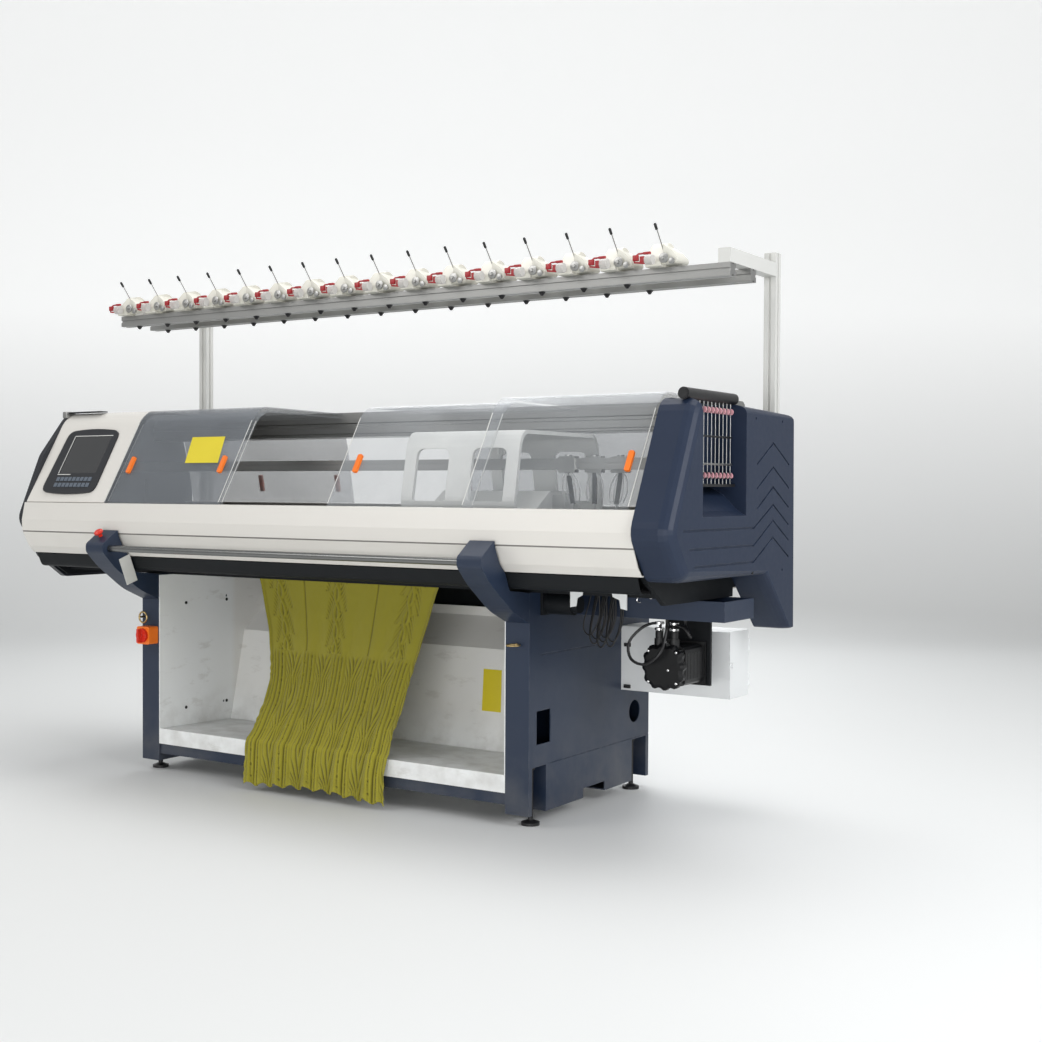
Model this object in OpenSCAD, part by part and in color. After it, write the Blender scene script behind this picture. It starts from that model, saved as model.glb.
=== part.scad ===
// Flat knitting machine with a V bed, a bridged carriage, sliding clear covers and an overhead yarn stand.
// X runs along the needle beds, Y from the front to the back, Z up from the floor.

/* [Base] */
// Length of the base over both side panels
base_l = 1640; // [1500:10:2000]
// Depth of the base
base_d = 754; // [720:2:800]
// Width of each side panel
post_w = 84; // [70:1:100]
// Height of the panels above the floor
panel_gap = 37; // [25:1:60]
// Height of the panel tops
panel_top = 700; // [690:1:710]
// Sheet thickness of the side panels
panel_wall = 4; // [2:0.5:6]
// Sheet thickness of the fabric tray
tray_wall = 3; // [1.5:0.5:4]
// Height of the tray floor at its lip
tray_z = 152; // [130:1:180]
// Radius of a levelling foot
foot_r = 28; // [20:1:34]
// Height of the base rails
rail_h = 36; // [25:1:50]

/* [Front arms] */
// Reach of the arms in front of the base
arm_reach = 253; // [235:1:280]
// Radius of the operating bar
bar_r = 11; // [8:0.5:14]
// Radius of the operating bar's journals
bar_pin_r = 7; // [5:0.5:9]
// Radial clearance of a running fit
fit = 0.05; // [0.02:0.01:0.1]
// Gap between neighbours that move past each other
gap = 0.3; // [0.2:0.05:0.5]

/* [Body] */
// Overhang of the body to the left of the base
over_l = 430; // [400:5:480]
// Overhang of the body to the right of the base
over_r = 440; // [400:5:500]
// Thickness of the left end cap
cap_t = 30; // [20:1:50]
// Thickness of the moulded right end cover
cover_t = 120; // [100:1:150]
// Sheet thickness of the apron and housings
skin = 4; // [2:0.5:6]
// Thickness of the clear covers
clear_t = 4; // [3:0.5:5]
// Height of the apron's top edge
apron_z = 950; // [945:1:960]
// Height of the bed beam
beam_h = 90; // [80:1:95]

/* [Beds] */
// Length of the needle beds
bed_l = 1400; // [1300:10:1500]
// Gap between the two needle beds
bed_gap = 16; // [10:1:20]
// Number of needle grooves shown on each bed
groove_n = 56; // [20:1:64]
// Width of a needle groove
groove_w = 6; // [3:0.5:8]
// Radius of the take-down roller
roller_r = 25; // [20:0.5:27]
// Radius of the pressure roller
press_r = 18; // [12:0.5:20]
// Radius of the roller journals
journal_r = 9; // [6:0.5:11]
// Length of a roller journal
journal_l = 14; // [10:1:20]

/* [Carriage] */
// Length of the carriage
carriage_l = 420; // [380:5:460]
// Distance of the resting carriage from the base's left face
carriage_x = 1390; // [1300:5:1500]
// Number of yarn carriers, one to a feeder rail
carrier_n = 3; // [3:1:3]
// Radius of the belt pulleys
pulley_r = 45; // [30:1:50]
// Width of the main belt
belt_w = 20; // [12:1:24]
// Radius of the pulley shafts
shaft_r = 10; // [6:0.5:14]

/* [Covers] */
// Length of a front cover
cover_l = 549; // [500:1:560]
// Left edge of the first pair of front covers
cover_x1 = -17; // [-17:1:20]
// Gap between the third front cover and the body's right end
cover_r3 = 545; // [540:1:570]
// Gap between the fourth front cover and the body's right end
cover_r4 = 26; // [20:1:60]
// Length of a rear cover
rear_cover_l = 850; // [700:5:870]
// Length of a cover handle
handle_l = 64; // [50:1:80]
// Width of a cover handle
handle_w = 17; // [12:1:24]

/* [Yarn stand] */
// Height of the stand posts
stand_top = 1762; // [1740:1:1800]
// Width of the stand profiles
prof = 40; // [30:1:45]
// Number of yarn control units
unit_n = 16; // [8:1:16]
// Distance between the units
unit_pitch = 157; // [140:1:158]
// Width of a unit's housing
unit_w = 54; // [40:1:70]

/* [Fabric] */
// Thickness of the knitted fabric
fabric_t = 4; // [3:0.5:5]

/* [Hidden] */
$fn = 40;

// Ends of the body along X
x_l = -over_l;
x_r = base_l + over_r;
frame_t = 15;
xf_l = x_l + frame_t;
xf_r = x_r - frame_t;
bed_x = base_l / 2;
drop_x = [bed_x - bed_l / 2, bed_x + bed_l / 2];
cover_x3 = x_r - cover_r3 - cover_l;
cover_x4 = x_r - cover_r4 - cover_l;
// Bed beam and the lines of the V bed in Y and Z
beam_y0 = 20;
beam_y1 = 460;
beam_top = panel_top + beam_h;
mid_y = (beam_y0 + beam_y1) / 2;
bed_top = 940;
bed_low = 15;
bed_half = 180;
bed_slope = (bed_top - beam_top - bed_low) / (bed_half - bed_gap / 2 - 6);
rail_t = 28;
rail_top = beam_top + 45;
rail_y = beam_y0 + 4;
// Feeder rails
feed_z = 1066;
feed_h = 34;
feed_t = 12;
feed_pitch = 38;
// Belt drive
belt_y = 516;
belt_z = 850;
drive_x = x_r - 90;
idler_x = x_l + 90;
belt_t = 3;
bracket_y = belt_y + belt_w + 6;
bracket_t = 8;
// Fabric rollers in the beam's slot, their nip right under the gap between the beds
nip_gap = fabric_t + 2 * gap;
roller_y = mid_y + nip_gap / 2 + roller_r;
press_y = mid_y - nip_gap / 2 - press_r;
roller_z = panel_top + 35;
slot_w = nip_gap + 4 * roller_r + 16;
// Rear apron
rear_y = 655;
rear_low = panel_top + 6;
rear_flange = 55;
// Stand
post_y = 725;
arm_y0 = 380;
rail_z = 1645;
unit_x0 = -497;
unit_x1 = unit_x0 + (unit_n - 1) * unit_pitch;
stand_x0 = unit_x0 - unit_w / 2 - 16;
// The origin is the middle of the whole machine, on the floor
all_x0 = stand_x0;
all_x1 = x_r + cover_t;
all_y0 = -arm_reach;
all_y1 = post_y + prof;

navy = [0.10, 0.13, 0.20];
white = [0.84, 0.85, 0.85];
cream = [0.84, 0.83, 0.80];
steel = [0.70, 0.70, 0.70];
dark = [0.07, 0.07, 0.08];
orange = [0.95, 0.42, 0.08];

// Moves the machine so that the middle of its footprint is the origin
module place() {
  translate([-(all_x0 + all_x1) / 2, -(all_y0 + all_y1) / 2, 0]) children();
}
// A block between two corners
module blk(a, b) {
  translate(a) cube(b - a);
}
// An outline in Y and Z, extruded along X from x0 to x1
module ex(x0, x1) {
  translate([x0, 0, 0]) rotate([90, 0, 90]) linear_extrude(x1 - x0) children();
}
// An outline in X and Z, extruded along Y from y0 to y1
module ey(y0, y1) {
  translate([0, y1, 0]) rotate([90, 0, 0]) linear_extrude(y1 - y0) children();
}
// A round bar along X, along Y
module cx(x0, x1, y, z, r) {
  translate([x0, y, z]) rotate([0, 90, 0]) cylinder(h = x1 - x0, r = r);
}
module cy(y0, y1, x, z, r) {
  translate([x, y0, z]) rotate([-90, 0, 0]) cylinder(h = y1 - y0, r = r);
}
// A rectangle between two corners
module rect(a, b) {
  translate(a) square(b - a);
}

function unit(v) = v / norm(v);
function left(a, b) = let (d = unit(b - a)) [-d[1], d[0]];
// Point i of an open line, moved t to its left
function side(p, i, t) =
  let (n = len(p),
    a = i > 0 ? left(p[i - 1], p[i]) : left(p[0], p[1]),
    b = i < n - 1 ? left(p[i], p[i + 1]) : left(p[n - 2], p[n - 1]),
    m = unit(a + b))
  p[i] + m * t / (m * a);
function shift(p, t) = [for (i = [0 : len(p) - 1]) side(p, i, t)];
// A sheet of thickness t to the left of an open line
function strip(p, t) = concat(p, [for (i = [len(p) - 1 : -1 : 0]) side(p, i, t)]);
// Point i of a closed outline, moved t to its left
function ring_pt(p, i, t) =
  let (n = len(p), a = left(p[(i + n - 1) % n], p[i]), b = left(p[i], p[(i + 1) % n]), m = unit(a + b))
  p[i] + m * t / (m * a);
function inset(p, t) = [for (i = [0 : len(p) - 1]) ring_pt(p, i, t)];
// A rounded corner at b, starting r before it and ending r after it
function corner(a, b, c, r, n) =
  r == 0 ? [b] :
  let (p = b + unit(a - b) * r, q = b + unit(c - b) * r)
  [for (k = [0 : n]) let (t = k / n) (1 - t) * (1 - t) * p + 2 * t * (1 - t) * b + t * t * q];
// A closed outline from [y, z, corner] triples
function soft(p, n = 4) =
  let (m = len(p))
  [for (i = [0 : m - 1])
    let (a = p[(i + m - 1) % m], b = p[i], c = p[(i + 1) % m])
    each corner([a[0], a[1]], [b[0], b[1]], [c[0], c[1]], b[2], n)];
// An open line with rounded inner corners from [y, z, corner] triples
function bend(p, n = 4) =
  let (m = len(p))
  [for (i = [0 : m - 1])
    each (i == 0 || i == m - 1 ? [[p[i][0], p[i][1]]] :
      corner([p[i - 1][0], p[i - 1][1]], [p[i][0], p[i][1]], [p[i + 1][0], p[i + 1][1]], p[i][2], n))];

// Front line of the hood, from the apron up and over to the top beam
hood_foot = [-148, apron_z + gap + clear_t * 0.52];
hood_edge = [22, apron_z + 293];
top_y = 430;
top_z = apron_z + 312;
hood_line = bend([[hood_foot[0], hood_foot[1], 0], [hood_edge[0], hood_edge[1], 26],
  [62, top_z + 5, 20], [top_y + 18, top_z + gap, 0]], 4);
function hood_track(n) = let (d = [-12, 7] * n)
  bend([[hood_foot[0] + d[0], hood_foot[1], 0], [hood_edge[0] + d[0], hood_edge[1] + d[1], 26],
    [62 + d[0], top_z + 5 + 2 * d[1], 20], [top_y + 18 + 20 * n, top_z + gap + 2 * d[1], 0]], 4);
// Outline of the ends of the body
end_line = soft([[14, panel_top - 28, 10], [452, panel_top - 28, 20], [655, panel_top, 20], [655, apron_z + 60, 30],
  [585, top_z + 18, 40], [40, top_z + 20, 36], [-84, 1123, 12], [-181, apron_z - 60, 30], [-94, 751, 8]], 4);

// Recesses in the side panels, one round each foot
recess_d = post_w - 24;
recess_f = [18, 97, 178];
recess_b = [base_d - 118, base_d - 19, 174];
// Window, fork slot and round hole of a side panel
window_y = [42, 121];
window_z = [244, 344];
fork_y = [318, 455];
hole_r = 37;
hole_at = [base_d - 101, 268];

// Folded side panel with its front post, seen from outside as the right-hand one
module side_panel() {
  cavity_z = recess_f[2] + 20;
  difference() {
    blk([0, 0, panel_gap], [post_w, base_d, panel_top]);
    blk([panel_wall, panel_wall, cavity_z], [post_w - panel_wall, base_d - panel_wall, panel_top - panel_wall]);
    blk([panel_wall, recess_f[1] + 18, panel_gap + panel_wall],
      [post_w - panel_wall, recess_b[0] - 22, cavity_z - panel_wall]);
    // window and round hole in the outer sheet
    blk([post_w - 2 * panel_wall, window_y[0], window_z[0]], [post_w + 1, window_y[1], window_z[1]]);
    translate([post_w - 2 * panel_wall, hole_at[0], hole_at[1]]) rotate([0, 90, 0]) cylinder(h = 3 * panel_wall, r = hole_r);
    // recesses over the feet and the fork slot
    for (r = [recess_f, recess_b])
      blk([post_w - recess_d, r[0], panel_gap - 1], [post_w + 1, r[1], r[2]]);
    blk([-1, fork_y[0], panel_gap - 1], [post_w + 1, fork_y[1], panel_gap + 30]);
    // shallow steps pressed into the outer sheet
    blk([post_w - 1.5, 115, 178], [post_w + 1, base_d + 1, 181]);
    blk([post_w - 1.5, 60, 510], [post_w + 1, 420, 514]);
  }
}
module side_panel_right() {
  color(navy) translate([base_l - post_w, 0, 0]) side_panel();
}
module side_panel_left() {
  color(navy) translate([post_w, 0, 0]) mirror([1, 0, 0]) side_panel();
}

module base_rails() {
  color(navy) {
    for (y = [6, base_d / 2 - 20, base_d - 52])
      blk([post_w, y, 62], [base_l - post_w, y + 40, 62 + rail_h]);
  }
}

module base_rear_panel() {
  color(navy) difference() {
    blk([post_w, base_d - 8, 62 + rail_h], [base_l - post_w, base_d - 5, panel_top]);
    for (i = [0 : 7])
      blk([base_l / 2 - 220, base_d - 9, 420 + 24 * i], [base_l / 2 + 220, base_d - 4, 428 + 24 * i]);
  }
}

// Tray line in Y and Z: lip, floor, leaning back wall
tray_line = [[0, 62 + rail_h], [0, tray_z], [353, tray_z - 11], [424, 469], [550, 565], [550, 596]];
module fabric_tray() {
  wall_top = panel_top - 4;
  region = concat([for (p = tray_line) p], [[550, 600], [550, wall_top], [0, wall_top]]);
  color(white) {
    difference() {
      union() {
        ex(post_w, base_l - post_w) polygon(strip(tray_line, -tray_wall));
        for (x = [post_w, base_l - post_w - tray_wall])
          ex(x, x + tray_wall) polygon([for (i = [1 : len(region) - 1]) region[i]]);
      }
      for (p = [[126, 590], [330, 604], [126, 210], [316, 211]])
        for (x = [post_w, base_l - post_w - tray_wall])
          cx(x - 1, x + tray_wall + 1, p[0], p[1], 5);
    }
  }
}

module levelling_feet() {
  color(dark) {
    for (x = [recess_d / 2, base_l - recess_d / 2], r = [recess_f, recess_b])
      translate([x, (r[0] + r[1]) / 2, 0]) {
        cylinder(h = 9, r = foot_r);
        translate([0, 0, 9]) cylinder(h = 6, r1 = foot_r - 4, r2 = 12);
        cylinder(h = r[2], r = 8);
        translate([0, 0, r[2] - 12]) cylinder(h = 12, r = 14, $fn = 6);
      }
  }
}

// Side profile of a front arm, from the post round the tip
arm_tip = [-arm_reach, 812];
arm_top = [-186, 860];
arm_line = soft([[0, panel_top - 90, 0], [0, panel_top - 2, 0], [-34, 704, 30], [-107, 711, 8], [-130, 764, 5],
  [-157, 789, 6], [-183, 840, 6], [arm_top[0], arm_top[1], 6], [arm_tip[0], arm_tip[1], 8], [-arm_reach, 786, 8],
  [-206, 736, 30], [-91, 650, 30]], 3);
arm_slope = atan2(arm_top[1] - arm_tip[1], arm_top[0] - arm_tip[0]);
// The stop button, on the sloping top of the left arm
button_at = [34, arm_tip[0] + 36, arm_tip[1] + 36 * tan(arm_slope)];
button_r = 7;
bar_yz = [-222, 797];
arm_holes = 32;
module arm(x0, x1, inner) {
  difference() {
    ex(x0, x1) polygon(arm_line);
    translate([inner, bar_yz[0], bar_yz[1]]) rotate([0, 90, 0])
      cylinder(h = 2 * arm_holes, r = bar_pin_r + fit, center = true);
  }
}
module arm_left() {
  color(navy) difference() {
    arm(0, post_w, post_w);
    translate(button_at) rotate([arm_slope, 0, 0]) translate([0, 0, -14]) cylinder(h = 20, r = button_r + fit);
  }
}
module arm_right() {
  color(navy) arm(base_l - post_w, base_l, base_l - post_w);
}

module operating_bar() {
  color(steel) {
    cx(post_w + gap, base_l - post_w - gap, bar_yz[0], bar_yz[1], bar_r);
    cx(post_w - arm_holes + 4, base_l - post_w + arm_holes - 4, bar_yz[0], bar_yz[1], bar_pin_r);
  }
}

// Red push button
module stop_button() {
  color([0.8, 0.1, 0.06]) translate(button_at) rotate([arm_slope, 0, 0]) {
    translate([0, 0, -6]) cylinder(h = 18, r = button_r);
    translate([0, 0, 10]) cylinder(h = 5, r1 = 11, r2 = 16);
    translate([0, 0, 15]) cylinder(h = 5, r = 16);
    translate([0, 0, 20]) cylinder(h = 3, r1 = 16, r2 = 11);
  }
}

// Yarn guide rings, one upright and one lying
module guide_ring() {
  rotate_extrude() translate([19, 0]) circle(r = 3, $fn = 16);
}
module guide_rings() {
  color([0.72, 0.60, 0.38]) {
    translate([30, -25, 545]) rotate([90, 0, 0]) guide_ring();
    cy(-23, 0, 30 - 19, 545, 3.5);
    translate([base_l - 42, -23, 545]) guide_ring();
    translate([base_l - 42, -5, 545]) rotate([-90, 0, 0]) cylinder(h = 5, r = 3.5);
  }
}

// Bright plate bolted to the inner side of the left arm
module arm_plate() {
  color(steel) ex(post_w, post_w + 2)
    polygon([[-182, 758], [-136, 775], [-100, 683], [-146, 668]]);
}

switch_z = 483;
switch_w = 62;
switch_d = 42;
module main_switch_body() {
  color(orange) difference() {
    union() {
      translate([post_w / 2 + 6, -switch_d / 2, switch_z]) rotate([90, 0, 0])
        linear_extrude(switch_d, center = true) offset(r = 7, $fn = 32) square(switch_w - 14, center = true);
    }
    cy(-switch_d - 1, -switch_d + 14, post_w / 2 + 6, switch_z, 8 + fit);
  }
}
module main_switch_knob() {
  color([0.8, 0.1, 0.06]) {
    cy(-switch_d - 10, -switch_d - gap, post_w / 2 + 6, switch_z, 25);
    cy(-switch_d - 12, -switch_d + 12, post_w / 2 + 6, switch_z, 8);
    blk([post_w / 2 + 6 - 5, -switch_d - 26, switch_z - 24], [post_w / 2 + 6 + 5, -switch_d - 9, switch_z + 24]);
  }
}

// Welded beam that carries the beds, with the slot that the fabric drops through
module bed_beam() {
  color(dark) difference() {
    blk([xf_l, beam_y0, panel_top], [xf_r, beam_y1, beam_top]);
    blk([drop_x[0], mid_y - slot_w / 2, panel_top - 1], [drop_x[1], mid_y + slot_w / 2, beam_top + 1]);
    // bores for the roller journals in the ends of the slot
    for (y = [roller_y, press_y])
      cx(drop_x[0] - journal_l - 1, drop_x[1] + journal_l + 1, y, roller_z, journal_r + fit);
  }
}

// Dark trough under the apron
trough_line = bend([[-122, 766, 0], [-103, panel_top + 20, 14], [beam_y0 - 3, panel_top + 20, 4],
  [beam_y0 - 3, beam_top - 20, 0]], 3);
module oil_trough() {
  color(dark) ex(xf_l, xf_r) polygon(strip(trough_line, -3));
}

// Needle bed, sloping up to the middle, with a groove for each group of needles
bed_line = [[mid_y - bed_half, beam_top], [mid_y - bed_gap / 2, beam_top], [mid_y - bed_gap / 2, bed_top],
  [mid_y - bed_gap / 2 - 6, bed_top], [mid_y - bed_half, beam_top + bed_low]];
function bed_z(y) = beam_top + bed_low + (y - mid_y + bed_half) * bed_slope;
module needle_bed() {
  pitch = (bed_l - 24) / groove_n;
  difference() {
    ex(drop_x[0], drop_x[1]) polygon(bed_line);
    for (i = [0 : groove_n - 1])
      translate([drop_x[0] + 12 + (i + 0.5) * pitch - groove_w / 2, 0, 0]) ex(0, groove_w)
        polygon([[mid_y - bed_half + 20, bed_z(mid_y - bed_half + 20) - 3],
          [mid_y, bed_z(mid_y) - 3], [mid_y, bed_z(mid_y) + 9], [mid_y - bed_half + 20, bed_z(mid_y - bed_half + 20) + 9]]);
  }
}
module needle_bed_front() {
  color(steel) needle_bed();
}
module needle_bed_rear() {
  color(steel) translate([0, 2 * mid_y, 0]) mirror([0, 1, 0]) needle_bed();
}

module carriage_rails() {
  color(steel)
    for (y = [rail_y, 2 * mid_y - rail_y - rail_t])
      blk([xf_l, y, beam_top], [xf_r, y + rail_t, rail_top]);
}

function feed_y(i) = mid_y + (i - 1) * feed_pitch;
module feeder_rails() {
  color(steel)
    for (i = [0 : carrier_n - 1])
      difference() {
        blk([xf_l, feed_y(i) - feed_t / 2, feed_z], [xf_r, feed_y(i) + feed_t / 2, feed_z + feed_h]);
        for (s = [-1, 1])
          blk([xf_l - 1, feed_y(i) + s * feed_t / 2 - 1.5, feed_z + 13], [xf_r + 1, feed_y(i) + s * feed_t / 2 + 1.5, feed_z + 21]);
      }
}

// Plates at the two ends of the body, inside the aprons and the hood, each with a bracket for a belt pulley
module end_frame(x, bx) {
  front = shift([for (i = [0, 1, 2, 6, 7, 8]) apron_line[i]], skin + 2);
  low = panel_top - 18;
  rear_in = [rear_y - skin - gap, rear_y - rear_flange - gap];
  rim = concat([[beam_y0 - 6, low], [beam_y1, low], [beam_y1, rear_low + skin + gap], [rear_in[0], rear_low + skin + gap],
    [rear_in[0], apron_z - skin - gap], [rear_in[1], apron_z - skin - gap], [rear_in[1], apron_z + 60],
    [rear_top_y - 12, top_z], [60, top_z], [hood_edge[0], hood_edge[1] - 8], [-96, apron_z + 70],
    [front[0][0] + 12, front[0][1]]], front, [[front[5][0] + 22, front[5][1] - 23]]);
  difference() {
    union() {
      ex(x, x + frame_t) difference() {
        polygon(rim);
        rect([90, 880], [mid_y - 60, apron_z + 90]);
        rect([mid_y + 60, 880], [beam_y1 - 60, apron_z + 90]);
      }
      blk([min(x, bx - 45), bracket_y, belt_z - 60], [max(x + frame_t, bx + 45), bracket_y + bracket_t, belt_z + 60]);
    }
    cy(bracket_y - 1, bracket_y + bracket_t + 1, bx, belt_z, shaft_r + fit);
  }
}
module end_frames() {
  color([0.45, 0.46, 0.48]) {
    end_frame(x_l, idler_x);
    end_frame(xf_r, drive_x);
  }
}

// Driven rubber roller and its pressure roller, across the beam's slot
module roller(y, r) {
  cx(drop_x[0] + 2, drop_x[1] - 2, y, roller_z, r);
  cx(drop_x[0] - journal_l, drop_x[1] + journal_l, y, roller_z, journal_r);
}
module takedown_roller() {
  color([0.16, 0.16, 0.17]) roller(roller_y, roller_r);
}
module pressure_roller() {
  color(steel) roller(press_y, press_r);
}

// Geared motor of the take-down on the right side panel
module takedown_motor() {
  color(dark) {
    translate([base_l, 60, panel_top - 70]) cube([8, 80, 66]);
    cx(base_l + 8, base_l + 96, 98, panel_top - 37, 31);
    cx(base_l + 96, base_l + 116, 98, panel_top - 37, 24);
  }
}

// Arch of the carriage over the beds, with windows in its front and rear legs
bridge_line = bend([[0, 812, 0], [0, 905, 10], [-26, 962, 20], [8, 1150, 18], [32, 1182, 18], [mid_y, 1182, 0]], 3);
bridge_outer = concat([for (p = bridge_line) p], [for (i = [len(bridge_line) - 2 : -1 : 0])
  [2 * mid_y - bridge_line[i][0], bridge_line[i][1]]]);
car_x0 = carriage_x - carriage_l / 2;
car_x1 = carriage_x + carriage_l / 2;
bridge_t = 12;
module carriage_bridge() {
  color([0.80, 0.81, 0.80]) {
    difference() {
      ex(car_x0, car_x1) polygon(strip(bridge_outer, -bridge_t));
      // one window to each arch, through both legs and rounded at the top
      for (s = [-1, 1])
        ey(-60, 2 * mid_y + 60) translate([carriage_x + s * carriage_l / 4, 0])
          polygon(soft([[-62, 968, 8], [62, 968, 8], [62, 1128, 26], [-62, 1128, 26]], 4));
    }
    // drivers over the feeder rails
    for (i = [0 : carrier_n - 1])
      translate([carriage_x, feed_y(i), feed_z + feed_h + 14])
        cylinder(h = 1182 - bridge_t / 2 - feed_z - feed_h - 14, r = 7);
    // clamp on the upper run of the belt
    blk([carriage_x - 40, 2 * mid_y - 4, belt_z + pulley_r - 16],
      [carriage_x + 40, belt_y - 4, belt_z + pulley_r + belt_t + 20]);
    blk([carriage_x - 40, belt_y - 8, belt_z + pulley_r + belt_t + gap],
      [carriage_x + 40, belt_y + belt_w, belt_z + pulley_r + belt_t + 15]);
  }
}

// Front and rear cam boxes, sliding on the rails just above the beds
cam_lift = 3;
function cam_z(y) = bed_z(y) + cam_lift;
cam_line = [[bridge_t, rail_top - 30], [rail_y - gap, rail_top - 30], [rail_y - gap, rail_top + gap],
  [rail_y + rail_t + 22, rail_top + gap], [rail_y + rail_t + 22, cam_z(rail_y + rail_t + 22)],
  [mid_y - 36, cam_z(mid_y - 36)], [mid_y - 36, 988], [mid_y - 50, 1000], [bridge_t + 40, 905], [bridge_t, 905]];
module cam_box() {
  ex(car_x0 + 8, car_x1 - 8) polygon(cam_line);
  // slanted lid with two finger screws
  for (s = [-1, 1])
    translate([carriage_x + s * 120, bridge_t + 90, cam_z(bridge_t + 90) + 56]) rotate([35, 0, 0])
      cylinder(h = 26, r = 11);
}
module cam_boxes() {
  color([0.74, 0.75, 0.75]) {
    cam_box();
    translate([0, 2 * mid_y, 0]) mirror([0, 1, 0]) cam_box();
  }
}

// Yarn carrier: slider round its rail, arm and feeder tube with its tip near the bed gap
carrier_x0 = carriage_x + carriage_l / 2 + 50;
carrier_pitch = 70;
module yarn_carrier(i) {
  y = feed_y(i);
  x = carrier_x0 + i * carrier_pitch;
  tip_y = mid_y + (i - 1) * 11;
  color([0.62, 0.62, 0.63]) {
    difference() {
      blk([x - 28, y - feed_t / 2 - 7, feed_z - 10], [x + 28, y + feed_t / 2 + 7, feed_z + feed_h + 6]);
      blk([x - 29, y - feed_t / 2 - gap, feed_z - gap], [x + 29, y + feed_t / 2 + gap, feed_z + feed_h + gap]);
    }
    ex(x - 7, x + 7) polygon([[y - 3, feed_z - 10], [y + 3, feed_z - 10], [tip_y + 2.5, bed_top + 20],
      [tip_y - 2.5, bed_top + 20]]);
    translate([x, tip_y, bed_top + 6]) cylinder(h = 16, r1 = 2, r2 = 4.5);
    translate([x, y, feed_z + feed_h + 6]) difference() {
      cylinder(h = 4, r = 11);
      translate([0, 0, -1]) cylinder(h = 6, r = 5);
    }
  }
}
module yarn_carrier_1() { yarn_carrier(0); }
module yarn_carrier_2() { yarn_carrier(1); }
module yarn_carrier_3() { yarn_carrier(2); }

// Toothed pulley on its shaft
module pulley(x) {
  teeth = 40;
  cy(belt_y - 3, bracket_y + bracket_t + 6, x, belt_z, shaft_r);
  difference() {
    cy(belt_y, belt_y + belt_w, x, belt_z, pulley_r - gap);
    for (k = [0 : teeth - 1])
      translate([x, belt_y - 1, belt_z]) rotate([0, k * 360 / teeth, 0])
        translate([pulley_r - 2.4, 0, -1.4]) cube([4, belt_w + 2, 2.8]);
  }
  for (y = [belt_y - 3, belt_y + belt_w])
    cy(y, y + 3, x, belt_z, pulley_r + 4);
}
module drive_pulley() {
  color(steel) pulley(drive_x);
}
module idler_pulley() {
  color(steel) pulley(idler_x);
}
module main_belt() {
  color(dark) {
    for (s = [-1, 1])
      translate([idler_x, belt_y + gap, belt_z + s * (pulley_r + belt_t / 2) - belt_t / 2])
        cube([drive_x - idler_x, belt_w - 2 * gap, belt_t]);
    for (q = [[idler_x, -1], [drive_x, 1]])
      difference() {
        cy(belt_y + gap, belt_y + belt_w - gap, q[0], belt_z, pulley_r + belt_t);
        cy(belt_y, belt_y + belt_w, q[0], belt_z, pulley_r);
        translate([q[0] + (q[1] > 0 ? -200 : 0), belt_y - 1, belt_z - 100]) cube([200, belt_w + 2, 200]);
      }
  }
}

// Servo motor that hangs under the right end, its axis along Y
motor_x = x_r - 130;
motor_y = [250, 420];
motor_z = 478;
motor_w = 118;
module servo_motor() {
  color(dark) {
    ey(motor_y[0] + 34, motor_y[1] - 12) translate([motor_x, motor_z])
      polygon(soft([for (k = [0 : 3]) let (a = 45 + 90 * k) [motor_w / 2 * sqrt(2) * cos(a), motor_w / 2 * sqrt(2) * sin(a), 20]], 3));
    ey(motor_y[0] + 6, motor_y[0] + 34) translate([motor_x, motor_z]) square(motor_w * 0.9, center = true);
    cy(motor_y[0], motor_y[0] + 6, motor_x, motor_z, 34);
    ey(motor_y[1] - 12, motor_y[1]) translate([motor_x, motor_z]) square(motor_w + 12, center = true);
    for (x = [-26, 24])
      translate([motor_x + x, motor_y[0] + 30, motor_z + motor_w * 0.45 - 1]) {
        cylinder(h = 30, r = 15);
        translate([0, 0, 30]) cylinder(h = 22, r = 12);
      }
  }
}

// Navy bracket box under the right end, with the plate that the servo motor is bolted to
module motor_bracket() {
  color(navy) {
    difference() {
      union() {
        blk([x_r - 420, 230, panel_top - 78], [xf_r - gap, 436, panel_top - gap]);
        blk([xf_r - 20, 230, panel_top - 78], [x_r + cover_t - 40, 436, panel_top - 18 - gap]);
      }
      blk([x_r - 412, 238, panel_top - 70], [x_r + cover_t - 48, 428, panel_top + 1]);
    }
    difference() {
      blk([motor_x - 75, motor_y[1] + gap, motor_z - 70], [motor_x + 75, motor_y[1] + 12, panel_top - 78]);
      cy(motor_y[1] - 1, motor_y[1] + 14, motor_x, motor_z, 18);
    }
  }
}

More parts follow.
